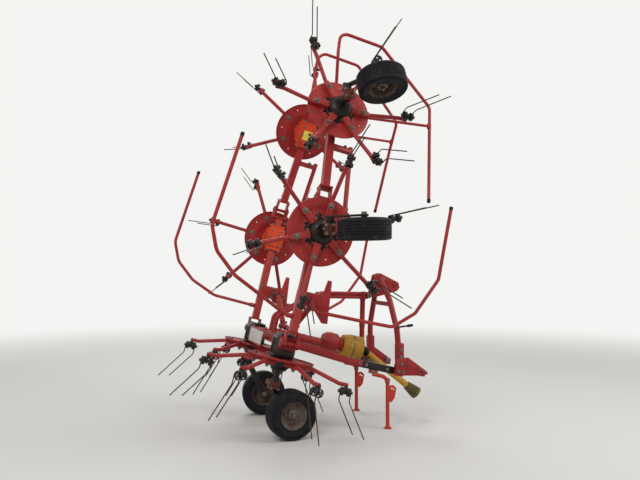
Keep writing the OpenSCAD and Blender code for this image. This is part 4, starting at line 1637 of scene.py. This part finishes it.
@dataclass
class Guards:
    """Bent guard tubes of the wings, with their clamps and end caps."""

    radius: float = 14.5
    bend: float = 140.0
    front_bend: float = 75.0
    outer_bend: float = 80.0
    stub: float = 60.0
    left_slide: Point = (-70, -95, 0)
    rear_foot: Point = (-32.3, 225, -6)
    rear: tuple[Point, ...] = ((-360, 330, -150), (-600, 430, -200), (-780, 580, -200), (-860, 760, -200),
                               (-800, 1500, -200))
    front: tuple[Point, ...] = ((110, 410, 17.9), (110, 300, 12), (510, 310, -150), (750, 320, -200),
                                (920, 470, -200), (1062, 785, -200), (1040, 1400, -200))
    hoop: tuple[Point, ...] = ((0, 1071, -6), (0, 1151, -6), (-75, 1400, -180), (-80, 1595, -205),
                               (330, 1590, -205), (885, 1180, -105), (905, 900, -80), (960, 250, -5))
    strut: tuple[Point, ...] = ((84.3, 889, -6), (144.3, 889, -6), (895, 985, -88))

    def capped(self, points: Sequence[Point], bend: float) -> list[Object]:
        """Tube with a black cap on its free end.

        Args:
            points: its corners, from its foot.
            bend: radius of its bends.

        Returns:
            The tube and its cap.
        """
        tube = swept(rounded_line(points, bend, 8), self.radius, PAINT_RED, 20)
        outer = self.radius + 1.6
        cap = turned([(0, -26), (outer, -26), (outer, 1), (self.radius - 1, 4), (0, 4)], BOOT, 24)
        end, before = Vector(points[-1]), Vector(points[-2])
        return [tube, carried(cap, aimed(end, end - before))]

    def inner_parts(self, side: Side) -> list[Object]:
        """Guards of an inner wing with their feet.

        Args:
            side: which half.

        Returns:
            The parts, in their local frame.
        """
        slide = Vector(self.left_slide if side is Side.LEFT else (0, 0, 0))
        foot = Vector(self.rear_foot)
        line = [foot, foot - Vector((self.stub, 0, 0)), *(Vector(p) + slide for p in self.rear)]
        parts = self.capped(line, self.bend) + self.capped(self.front, self.front_bend)
        socket = turned([(self.radius, 2), (19, 2), (20, 5), (20, 52), (19, 55), (self.radius, 55)],
                        PAINT_RED, 28)
        parts.append(carried(socket, aimed(foot, (-1, 0, 0))))
        parts += bolts([((foot.x - 30, foot.y, foot.z + 20), (0, 0, 1))], 6, BOLT)
        parts.append(block((46, 34, 34), (110, 352, 16), PAINT_RED, 4))
        parts += bolts([((110, 352, 33), (0, 0, 1))], 7, BOLT, 4)
        return parts

    def outer_parts(self) -> list[Object]:
        """Hoop and strut of an outer wing.

        Returns:
            The parts, in their local frame.
        """
        parts = self.capped(self.hoop, self.outer_bend)
        parts.append(swept(rounded_line(self.strut, 60, 6), self.radius - 2, PAINT_RED, 18))
        x, y, z = self.strut[0]
        parts.append(block((8, 62, 60), (x + 4.3, y, z), PAINT_RED, 2))
        parts += bolts([((x + 8.3, y + s * 21, z + s * 20), (1, 0, 0)) for s in (-1, 1)], 6, BOLT, 4)
        sleeve = turned([(self.radius, -24), (19, -24), (19.5, -20), (19.5, 20), (19, 24), (self.radius, 24)],
                        PAINT_RED, 24)
        end, before = Vector(self.strut[-1]), Vector(self.hoop[5])
        parts.append(carried(sleeve, aimed(end, Vector(self.hoop[6]) - before)))
        return parts

    def build(self, yard: Yard) -> None:
        """Seat the guards of the four wings.

        Args:
            yard: the loaded frame and its places.
        """
        for side in Side:
            yard.seat(f"inner_guards_{side.word}", f"wing_inner_{side.word}", "paint_red",
                      self.inner_parts(side), yard.section(Part.INNER, side))
            yard.seat(f"outer_guard_{side.word}", f"wing_outer_{side.word}", "paint_red",
                      self.outer_parts(), yard.section(Part.OUTER, side))


@dataclass
class FoldCylinder:
    """Fold cylinder: barrel with its ports and gland, and a chrome rod with its eye."""

    radius: float = 26.0
    barrel: float = 505.7
    shoulder: float = 52.2
    length: float = 555.7
    rod: float = 13.0

    def barrel_parts(self) -> list[Object]:
        """Barrel from its eye to its gland.

        Returns:
            The parts, in their local frame.
        """
        r, end = self.radius, self.barrel
        start = self.shoulder
        tube = turned([(0, start), (r - 3, start), (r, start + 3), (r, end - 44), (r + 2.5, end - 43),
                       (r + 2.5, end - 6), (r, end - 2), (r - 4, end), (self.rod + 1, end),
                       (self.rod + 1, 80), (0, 80)], PAINT_RED, 40)
        eye = turned([(12.3, -15), (22.5, -15), (24, -13), (24, 13), (22.5, 15), (12.3, 15)], PAINT_RED, 32)
        carried(eye, FORWARD)
        neck = block((26, 44, start - 14), (0, 0, (start + 16) / 2), PAINT_RED, 3)
        ports = []
        for z in (start + 24, end - 26):
            port = turned([(0, r - 3), (10, r - 3), (10, r + 7), (8, r + 8), (8, r + 9), (0, r + 9)],
                          PAINT_RED, 20)
            screw = hex_bolt(7, PIN_STEEL, washer=False)
            shifted(screw, z=r + 8)
            ports.append(shifted(carried(joined("port", [port, screw]), FORWARD), z=z))
        wiper = turned([(self.rod + 0.4, end - 1), (self.rod + 5, end - 1), (self.rod + 4, end + 3),
                        (self.rod + 0.4, end + 3)], BOOT, 28)
        return [tube, eye, neck, *ports, wiper]

    def rod_parts(self) -> list[Object]:
        """Rod with its eye and pin.

        Returns:
            The parts, in their local frame.
        """
        end = self.length - 12
        rod = turned([(0, 64), (self.rod, 64), (self.rod, end), (0, end)], CHROME, 36)
        eye = turned([(11, -14), (20.5, -14), (22, -12), (22, 12), (20.5, 14), (11, 14)], PAINT_WORN, 32)
        pin = turned([(0, -16.5), (12, -16.5), (12, 16.5), (0, 16.5)], PIN_STEEL, 24)
        ends = [shifted(carried(p, FORWARD), z=self.length) for p in (eye, pin)]
        return [rod, *ends]

    def build(self, yard: Yard) -> None:
        """Seat both cylinders.

        Args:
            yard: the loaded frame and its places.
        """
        for side in Side:
            place = yard.cylinder(side)
            for half, slot, parts in (("barrel", "paint_red", self.barrel_parts()),
                                      ("rod", "chrome", self.rod_parts())):
                yard.seat(f"fold_{half}_{side.word}", f"cylinder_{half}_{side.word}", slot, parts, place)


@dataclass
class CentreFrame:
    """Side rails, tower, hitch plates, stand legs, rear board and lever of the centre frame."""

    rail_y: float = 330.0
    black_from: float = 795.0
    member: tuple[float, float] = (926.0, 994.0)
    tower_y: float = 70.0
    tower_line: tuple[Point, ...] = ((16, 0, 40), (16, 0, 190), (330, 0, 440), (440, 0, 478))
    tower_top: Point = (380, 0, 462)
    post_top: Point = (842, 0, 560)
    post_foot: Point = (958, 0, -4)
    post_y: float = 140.0
    stand: Point = (706, 397, 0)
    stand_line: tuple[Point, ...] = ((0, 0, 6), (0, 0, 448), (-130, -30, 478))
    link_pin: Point = (1340, 382, -5)
    lever_line: tuple[Point, Point] = ((1040, -369.3, 331), (1176, -369.3, 378))

    def rails(self, yard: Yard, place: Matrix) -> None:
        """Side rails with their cross member, end welds and bolts.

        Args:
            yard: the loaded frame and its places.
            place: the local frame of the centre section.
        """
        rear, front = self.member
        parts = []
        for side in (-1, 1):
            y = side * self.rail_y
            inner = y - side * 27
            parts += [bead([(42, y - 25, z), (42, y + 25, z)], PAINT_RED, 4) for z in (34, -38)]
            parts += [bead([(rear, inner, -82), (front, inner, -82)], CASTING, 4),
                      bead([(front + 2, inner, -80), (front + 2, inner, -32)], CASTING, 4)]
            parts += bolts([((x, y + side * 25, -53), (0, side, 0)) for x in (760, 830, 1035)], 8, BOLT, 5)
            parts.append(block((4, 44, 56), (1101, y, -53), CASTING, 1))
        parts += bolts([((960, y, -28), (0, 0, 1)) for y in (-200, -60, 210)], 8, BOLT, 4)
        base = yard.softened("side_rails", PAINT_RED, 3.0)
        cut_across(base, place @ Matrix.Translation((self.black_from, 0, 0)))
        painted_where(base, place, lambda p: p.x > self.black_from, CASTING)
        painted_where(base, place, lambda p: rear < p.x < front and abs(p.y) < 300 and p.z > -33.5, DUSTY)
        yard.seat("side_rails", "frame", "paint_red", [base, *all_carried(parts, place)])

    def tower_parts(self) -> list[Object]:
        """Bent double tube, cross tube, top bar of two stacked tubes, rod and round post.

        Returns:
            The parts, in their local frame.
        """
        base, top, foot = Vector(self.tower_top), Vector(self.post_top), Vector(self.post_foot)
        parts = []
        for side in (-1, 1):
            line = [(p[0], side * self.tower_y, p[2]) for p in self.tower_line]
            parts.append(swept(rounded_line(line, 70, 9), 18, PAINT_RED, 24))
            ring = turned([(17, 0), (23, 0), (20, 6), (18, 8), (17, 8)], PAINT_RED, 24)
            parts.append(shifted(ring, *line[0]))
        cross = turned([(0, -90), (24, -90), (26, -88), (26, 88), (24, 90), (0, 90)], PAINT_RED, 32)
        parts.append(shifted(carried(cross, SIDEWAYS), *base))
        run = top - base
        up = run.cross(Vector((0, -1, 0))).normalized()
        up = up if up.z > 0 else -up
        for level in (-16.5, 16.5):
            start = base + up * level
            parts.append(swept([start, start + run], 16.5, PAINT_RED, 20))
        for side in (-1, 1):
            for share in (0.12, 0.46, 0.86):
                middle = base + run * share + Vector((0, side * 12, 0))
                parts.append(bead([middle - run * 0.04, middle + run * 0.04], PAINT_RED, 3.6))
        band = block((34, 42, 72), (0, 0, 0), PAINT_RED, 4)
        tilt = Matrix.Rotation(-math.atan2(run.z, run.x), 4, "Y")
        parts.append(carried(band, Matrix.Translation(base + run * 0.9) @ tilt))
        rod = turned([(0, -40), (21, -40), (24, -37), (24, 163), (21, 166), (0, 166)], PIN_STEEL, 32)
        parts.append(shifted(carried(rod, SIDEWAYS), *top))
        start = Vector((top.x, self.post_y, top.z))
        end = Vector((foot.x, self.post_y, foot.z + 20))
        down = (end - start).normalized()
        parts.append(swept([start - down * 22, end], 24, PAINT_RED, 28))
        for share, length in ((0.06, 34), (0.5, 60), (0.93, 40)):
            sleeve = turned([(24, 0), (27.5, 0), (28, 3), (28, length - 3), (27.5, length), (24, length)],
                            PAINT_RED, 28)
            parts.append(carried(sleeve, aimed(start + (end - start) * share - down * length / 2, down)))
        parts.append(block((52, 52, 44), (foot.x, self.post_y, foot.z - 2), PAINT_RED, 4))
        parts += bolts([((foot.x, self.post_y + s * 26, foot.z + 2), (0, s, 0)) for s in (-1, 1)], 8, BOLT, 4)
        return parts + bolts([((top.x, 166, top.z), (0, 1, 0))], 12, PIN_STEEL)

    def hitch(self, yard: Yard) -> None:
        """Lower hitch plates with their pins.

        Args:
            yard: the loaded frame and its places.
        """
        x, _, z = self.link_pin
        extras = []
        for side in Side:
            shoulder = turned([(14, 0), (25, 0), (25, 5), (22, 8), (14, 8)], PIN_STEEL, 28)
            parts = [shifted(carried(shoulder, SIDEWAYS), x, 406.2, z)]
            parts += bolts([((x, 390, z), (0, -1, 0))], 14, PIN_STEEL)
            eye = turned([(0, -17), (3.4, -17), (3.4, 17), (0, 17)], BOOT, 10)
            parts.append(shifted(eye, x, 496, z))
            parts.append(bead([(1112, 388, -84), (1178, 388, -84)], PAINT_RED, 4))
            spots = ((1125, -50), (1165, -45), (1135, 20))
            parts += bolts([((px, 406, pz), (0, 1, 0)) for px, pz in spots], 8, BOLT, 4)
            extras += all_carried(parts, yard.section(Part.CENTRE, side))
        node = "lower_hitch"
        yard.seat(node, "frame", "paint_red", [yard.softened(node, PAINT_RED, 2.6), *extras])

    def stands(self, yard: Yard) -> None:
        """Stand legs with their feet, gussets and sockets.

        Args:
            yard: the loaded frame and its places.
        """
        x, y, _ = self.stand
        parts = []
        outline = [(10, 372), (50, 380), (84, 352), (66, 262), (34, 226), (10, 236)]
        for side in Side:
            leg = [swept(rounded_line(self.stand_line, 70, 9), 17, PAINT_LEG, 24)]
            leg.append(turned([(0, 0), (34, 0), (36, 2), (36, 8), (33, 10), (21, 12), (19, 22), (0, 22)],
                              PAINT_LEG, 40))
            leg.append(carried(plate(outline, 10, PAINT_LEG, [(40, 350, 8), (58, 340, 8)]), EDGEWISE))
            leg.append(bead([(17, 3, 240), (17, 3, 368)], PAINT_LEG, 3.5))
            sleeve = turned([(17, 0), (22, 0), (22, 40), (17, 40)], PAINT_LEG, 28)
            leg.append(shifted(sleeve, z=398))
            leg += bolts([((0, s * 22, 418), (0, s, 0)) for s in (-1, 1)], 6, BOLT)
            mirror = Matrix.Diagonal((1, side.value, 1, 1))
            stance = Matrix.Translation((x, side.value * y, 0)) @ mirror
            parts += all_carried(leg, Matrix.Scale(MM, 4) @ stance)
            box = [block((70, 60, 34), (915, 340, -101), PAINT_LEG, 4)]
            box += bolts([((915 + s * 20, 370, -101), (0, 1, 0)) for s in (-1, 1)], 8, BOLT, 4)
            parts += all_carried(box, yard.section(Part.CENTRE, side))
        yard.seat("stand_legs", "frame", "paint_orange", parts)

    def board_parts(self) -> list[Object]:
        """Blank pale board at the rear with its frame strips and brackets.

        Returns:
            The parts, in their local frame.
        """
        return [block((5, 496, 118), (-123, 0, -25), BOARD_PALE, 2),
                *(block((6, 500, 15), (-123, 0, z), PAINT_RED, 2.5) for z in (-87, 37)),
                *(block((80, 40, 12), (-80, y, -14), PAINT_RED, 2) for y in (-150, 150))]

    def lever_parts(self) -> list[Object]:
        """Control lever with its grip.

        Returns:
            The parts, in their local frame.
        """
        start, end = (Vector(p) for p in self.lever_line)
        parts = [swept([start, end], 8, CASTING, 14)]
        way = (end - start).normalized()
        grip = turned([(0, 0), (10, 0), (12.5, 4), (13, 22), (12, 42), (13, 50), (11, 54), (0, 54)], BOOT, 24)
        parts.append(carried(grip, aimed(end - way * 50, way)))
        parts.append(carried(hex_bolt(7, BOLT), aimed((1052, start.y - 8, 335), (0, -1, 0))))
        return parts

    def build(self, yard: Yard) -> None:
        """Seat the pieces of the centre frame.

        Args:
            yard: the loaded frame and its places.
        """
        place = yard.section(Part.CENTRE, Side.LEFT)
        self.rails(yard, place)
        yard.seat("tower", "frame", "paint_red", self.tower_parts(), place)
        self.hitch(yard)
        self.stands(yard)
        yard.seat("rear_board", "frame", "board_pale", self.board_parts(), place)
        yard.seat("control_lever", "frame", "grease_black", self.lever_parts(), place)


@dataclass
class Headstock:
    """Headstock: two bent legs with their feet, and two head plates with the top link hole."""

    radius: float = 26.0
    bend: float = 200.0
    line: tuple[Point, ...] = ((905, 60, 729), (985, 190, 560), (1057, 330, 309), (1140, 360, 20))
    plate_y: float = 34.0
    outline: tuple[tuple[float, float], ...] = ((850, 560), (905, 560), (1100, 660), (1122, 700), (1100, 745),
                                                (900, 790), (850, 760))
    top_hole: tuple[float, float] = (1075, 712)
    rod_hole: tuple[float, float] = (842, 560)

    def leg(self, side: Side) -> list[Object]:
        """One bent leg with its foot box and sleeve.

        Args:
            side: which half.

        Returns:
            The parts, in their local frame.
        """
        parts = [swept(rounded_line(self.line, self.bend, 9), self.radius, PAINT_RED, 28)]
        foot = Vector(self.line[-1])
        parts.append(block((72, 58, 60), (foot.x, foot.y - 3, 8), PAINT_RED, 4))
        low, high = Vector((1134, 356, 40)), Vector((1096, 356, 196))
        run = high - low
        sleeve = block((68, 62, run.length), (0, 0, 0), PAINT_RED, 6)
        tilt = Matrix.Rotation(math.atan2(run.x, run.z), 4, "Y")
        parts.append(carried(sleeve, Matrix.Translation((low + high) / 2) @ tilt))
        parts += bolts([((1124 - s * 12, 387.5, 80 + s * 60), (0, 1, 0)) for s in (0, 1)], 9, BOLT, 5)
        cap = turned([(0, 0), (self.radius, 0), (self.radius - 3, 5), (0, 8)], PAINT_RED, 28)
        top, after = Vector(self.line[0]), Vector(self.line[1])
        parts.append(carried(cap, aimed(top, top - after)))
        if side is Side.RIGHT:
            boss = turned([(0, 0), (8.5, 0), (10, 2), (10, 34), (0, 34)], PAINT_RED, 24)
            parts.append(shifted(carried(boss, SIDEWAYS), 1052, 334, 335))
        return parts

    def head(self) -> list[Object]:
        """Head plates, their blocks and the crossbar.

        Returns:
            The parts, in their local frame.
        """
        parts = []
        for y in (-self.plate_y, self.plate_y):
            sheet = plate(self.outline, 12, PAINT_RED, [(*self.top_hole, 12.9), (*self.rod_hole, 24.3)], 2)
            parts.append(shifted(carried(sheet, EDGEWISE), y=y))
            way = 1 if y > 0 else -1
            boss = turned([(12.95, 6), (24, 6), (24, 11), (22, 13), (12.95, 13)], PAINT_RED, 32)
            x, z = self.top_hole
            parts.append(carried(boss, aimed((x, y, z), (0, way, 0))))
            spots = ((875, 640), (875, 705), (940, 740))
            parts += bolts([((px, y + way * 6, pz), (0, way, 0)) for px, pz in spots], 8, BOLT, 5)
        parts.append(block((30, 68, 150), (875, 0, 675), PAINT_RED, 3))
        parts.append(block((24, 56, 30), (912, 0, 730), PAINT_RED, 3))
        parts.append(swept([(1000, -192, 520), (1000, 192, 520)], 20, PAINT_RED, 24))
        return parts

    def build(self, yard: Yard) -> None:
        """Seat the head and the two legs.

        Args:
            yard: the loaded frame and its places.
        """
        yard.seat("headstock", "frame", "paint_red", self.head(), yard.section(Part.CENTRE, Side.LEFT))
        for side in Side:
            yard.seat(f"headstock_leg_{side.word}", "frame", "paint_red", self.leg(side),
                      yard.section(Part.CENTRE, side))


@dataclass
class DriveLine:
    """Input housing, cone guard, joint boot, and the drooping shaft with its bell end."""

    height: float = 60.0
    housing: float = 500.0
    cone: float = 690.0
    joint: float = 905.0
    droop: float = 25.0
    length: float = 700.0
    bell: float = 130.0
    bore: float = 17.5

    def housing_parts(self) -> list[Object]:
        """Tube from the cross beam and the lathe-turned housing with its flange bolts.

        Returns:
            The parts, in their local frame.
        """
        tube = turned([(0, 40), (36, 40), (38, 42), (38, 300), (41, 302), (41, 330), (38, 332), (38, 520),
                       (0, 520)], PAINT_RED, 40)
        carried(tube, FORWARD)
        shifted(tube, z=self.height - 20)
        body = turned([(0, 0), (68, 0), (70, 3), (74, 12), (86, 28), (88, 32), (88, 60), (91, 62), (91, 74),
                       (88, 76), (88, 128), (84, 134), (64, 156), (62, 162), (62, 190), (0, 190)],
                      PAINT_RED, 56)
        screws = ringed(bolts([((78, 0, 74), (0, 0, 1))], 6, BOLT)[0], 8)
        rib = plate([(60, 80), (87, 80), (87, 126), (64, 154), (60, 154)], 8, PAINT_RED)
        ribs = ringed(carried(rib, EDGEWISE), 6)
        return [tube, *self.on_line([body, *screws, *ribs], self.housing)]

    def on_line(self, parts: Iterable[Object], x: float) -> list[Object]:
        """Lay parts that were modelled about Z along the input shaft's centre line."""
        return all_carried(parts, Matrix.Translation((x, 0, self.height)) @ FORWARD)

    def cone_parts(self) -> list[Object]:
        """Cone guard with its rolled rim and its stiffening rings.

        Returns:
            The parts, in their local frame.
        """
        wall = turned([(56, 0), (90, 0), (92, 2), (97, 20), (99, 22), (97.5, 25), (108, 60), (110, 63),
                       (108, 66), (108, 118), (110, 121), (108, 124), (108, 178), (111, 182), (111, 188),
                       (108, 190), (104, 190), (104, 62), (88, 6), (56, 6)], GUARD_OCHRE, 56)
        clip = turned([(107.5, 86), (109.5, 86), (109.5, 100), (107.5, 100)], PIN_STEEL, 56)
        return self.on_line([wall, clip], self.cone)

    def shaft_frame(self) -> Matrix:
        """Frame of the drooping shaft, with z along it from its joint."""
        lean = Matrix.Rotation(math.radians(90 + self.droop), 4, "Y")
        return Matrix.Translation((self.joint, 0, self.height)) @ lean

    def boot_outline(self, start: float, end: float, outer: float, inner: float, folds: int
                     ) -> list[tuple[float, float]]:
        """Section of a ribbed boot.

        Args:
            start: where it starts along its axis.
            end: where it ends.
            outer: radius at the start.
            inner: radius at the end.
            folds: number of ribs.

        Returns:
            The outline.
        """
        points = [(0.0, start)]
        for k in range(folds):
            low = start + (end - start) * k / folds
            step = (end - start) / folds
            radius = outer + (inner - outer) * (k + 0.5) / folds
            points += [(radius - depth, low + share * step)
                       for depth, share in ((4, 0.08), (0, 0.3), (0, 0.62), (4, 0.88))]
        return [*points, (0.0, end)]

    def shaft_parts(self) -> list[Object]:
        """Joint with its black boot and the yellow guard tube.

        Returns:
            The parts, in their local frame.
        """
        stub = turned(self.boot_outline(0, self.joint - self.cone, 30, 30, 9), BOOT, 40)
        boot = turned(self.boot_outline(-34, 66, 41, 35, 5), BOOT, 44)
        tube = turned([(0, 40), (28, 40), (30, 46), (30, 250), (31.5, 252), (31.5, 296), (30, 298),
                       (30, self.length - self.bell), (0, self.length - self.bell)], GUARD_OCHRE, 40)
        return self.on_line([stub], self.cone) + all_carried([boot, tube], self.shaft_frame())

    def bell_parts(self) -> list[Object]:
        """Ribbed bell end with the yoke and its bore.

        Returns:
            The parts, in their local frame.
        """
        end = self.length
        start = end - self.bell
        outline = [(self.bore, end - 2), (self.bore, end - 80), (0, end - 80), (0, start), (31, start)]
        rings = 6
        bands = []
        for k in range(rings):
            low = start + 8 + k * (self.bell - 20) / rings
            radius = 39 + (60 - 39) * (low + 9 - start) / (self.bell - 10)
            outline += [(radius - 6, low), (radius, low + 3), (radius, low + 10), (radius - 5, low + 14)]
            bands.append(turned([(radius - 9, low - 6), (radius - 3, low - 6), (radius - 3, low + 1),
                                 (radius - 9, low + 1)], BOOT, 48))
        outline += [(60, end - 8), (60, end), (56, end), (54, end - 6), (30, end - 8), (30, end - 2)]
        bell = turned(outline, BELL_OLIVE, 48)
        bore = self.bore + 0.2
        collar = turned([(bore, end - 40), (27, end - 40), (29, end - 36), (29, end - 4), (27, end - 0.5),
                         (bore, end - 0.5)], PIN_STEEL, 40)
        return all_carried([bell, collar, *bands], self.shaft_frame())

    def build(self, yard: Yard) -> None:
        """Seat the drive line.

        Args:
            yard: the loaded frame and its places.
        """
        place = yard.section(Part.CENTRE, Side.LEFT)
        rows = (("input_gearbox", "paint_red", self.housing_parts()),
                ("pto_guard", "guard_ochre", self.cone_parts()),
                ("pto_shaft", "guard_ochre", self.shaft_parts()),
                ("pto_yoke", "guard_ochre", self.bell_parts()))
        for node, slot, parts in rows:
            yard.seat(node, "frame", slot, parts, place)


@dataclass
class Stage:
    """Camera of the photograph, pale floor, lamps and world."""

    eye: Point = (-1.719, -6.188, 1.463)
    turn: Point = (91.83, 0.0, -17.27)
    lens: float = 39.54
    sensor: float = 36.0
    floor: str = "d9d8d4"
    lamps: tuple[tuple[Point, float], ...] = (((-4.5, -6.0, 7.0), 280.0), ((5.0, -3.5, 5.0), 145.0),
                                              ((0.5, 6.0, 6.5), 195.0))
    lamp_size: float = 3.0
    middle: float = 1.4
    white: str = "f4f4f2"
    sky: float = 0.52
    near: float = 4.5
    far: float = 11.0

    def camera(self) -> None:
        """Put the camera where the photograph was taken from."""
        data = bpy.data.cameras.new("photo_camera")
        data.lens = self.lens
        data.sensor_width = self.sensor
        obj = bpy.data.objects.new("photo_camera", data)
        bpy.context.scene.collection.objects.link(obj)
        obj.location = self.eye
        obj.rotation_euler = Euler([math.radians(a) for a in self.turn])
        bpy.context.scene.camera = obj

    def ground(self) -> None:
        """Pale floor that keeps the shadow."""
        bpy.ops.object.select_all(action="DESELECT")
        bpy.ops.mesh.primitive_plane_add(size=60, location=(0, 0, 0))
        floor = bpy.context.object
        floor.name = "floor"
        made = bpy.data.materials.new("floor")
        made.use_nodes = True
        graph = Graph(made.node_tree)
        shader = graph.node("BsdfPrincipled", {"Base Color": (*linear(self.floor), 1.0), "Roughness": 0.9})
        glow = graph.node("Emission", {"Color": (*linear(self.white), 1.0), "Strength": 1.0})
        place = graph.node("NewGeometry").outputs["Position"]
        away = graph.node("VectorMath", {0: place}, operation="LENGTH").outputs["Value"]
        seen = graph.node("LightPath").outputs["Is Camera Ray"]
        fade = graph.sum("MULTIPLY", graph.span(away, self.near, self.far), seen)
        both = graph.node("MixShader", {0: fade, 1: shader.outputs[0], 2: glow.outputs[0]})
        graph.node("OutputMaterial", {"Surface": both.outputs[0]})
        floor.data.materials.append(made)

    def light(self) -> None:
        """Soft lamps and an even world, which is white where the camera or metal sees it."""
        for place, power in self.lamps:
            data = bpy.data.lights.new("lamp", "AREA")
            data.energy = power
            data.size = self.lamp_size
            lamp = bpy.data.objects.new("lamp", data)
            lamp.location = place
            aim = Vector((0, 0, self.middle)) - Vector(place)
            lamp.rotation_euler = aim.to_track_quat("-Z", "Y").to_euler()
            bpy.context.scene.collection.objects.link(lamp)
        world = bpy.data.worlds.new("sky")
        bpy.context.scene.world = world
        world.use_nodes = True
        graph = Graph(world.node_tree)
        path = graph.node("LightPath").outputs
        seen = graph.sum("MAXIMUM", path["Is Camera Ray"],
                         graph.sum("MAXIMUM", path["Is Glossy Ray"], path["Is Transmission Ray"]))
        strength = graph.span(seen, 0.0, 1.0, self.sky, 1.0)
        back = graph.node("Background", {"Color": (*linear(self.white), 1.0), "Strength": strength})
        graph.node("OutputWorld", {"Surface": back.outputs[0]})
        bpy.context.scene.view_settings.view_transform = "Standard"


def main() -> None:
    """Load the frame, dress it and set the stage."""
    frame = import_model()
    stage = Stage()
    stage.camera()
    stage.ground()
    stage.light()
    yard = Yard(frame)
    for part in (Reel(), RoadWheel(), WheelStem(), Gearbox(), CrossBeam(), WingBeams(), Guards(),
                 FoldCylinder(), CentreFrame(), Headstock(), DriveLine()):
        LOG.info("building %s", type(part).__name__)
        part.build(yard)
    LOG.info("%d pieces seated", yard.count)


if __name__ == "__main__":
    logging.basicConfig(level=logging.INFO, format="%(name)s: %(message)s")
    main()
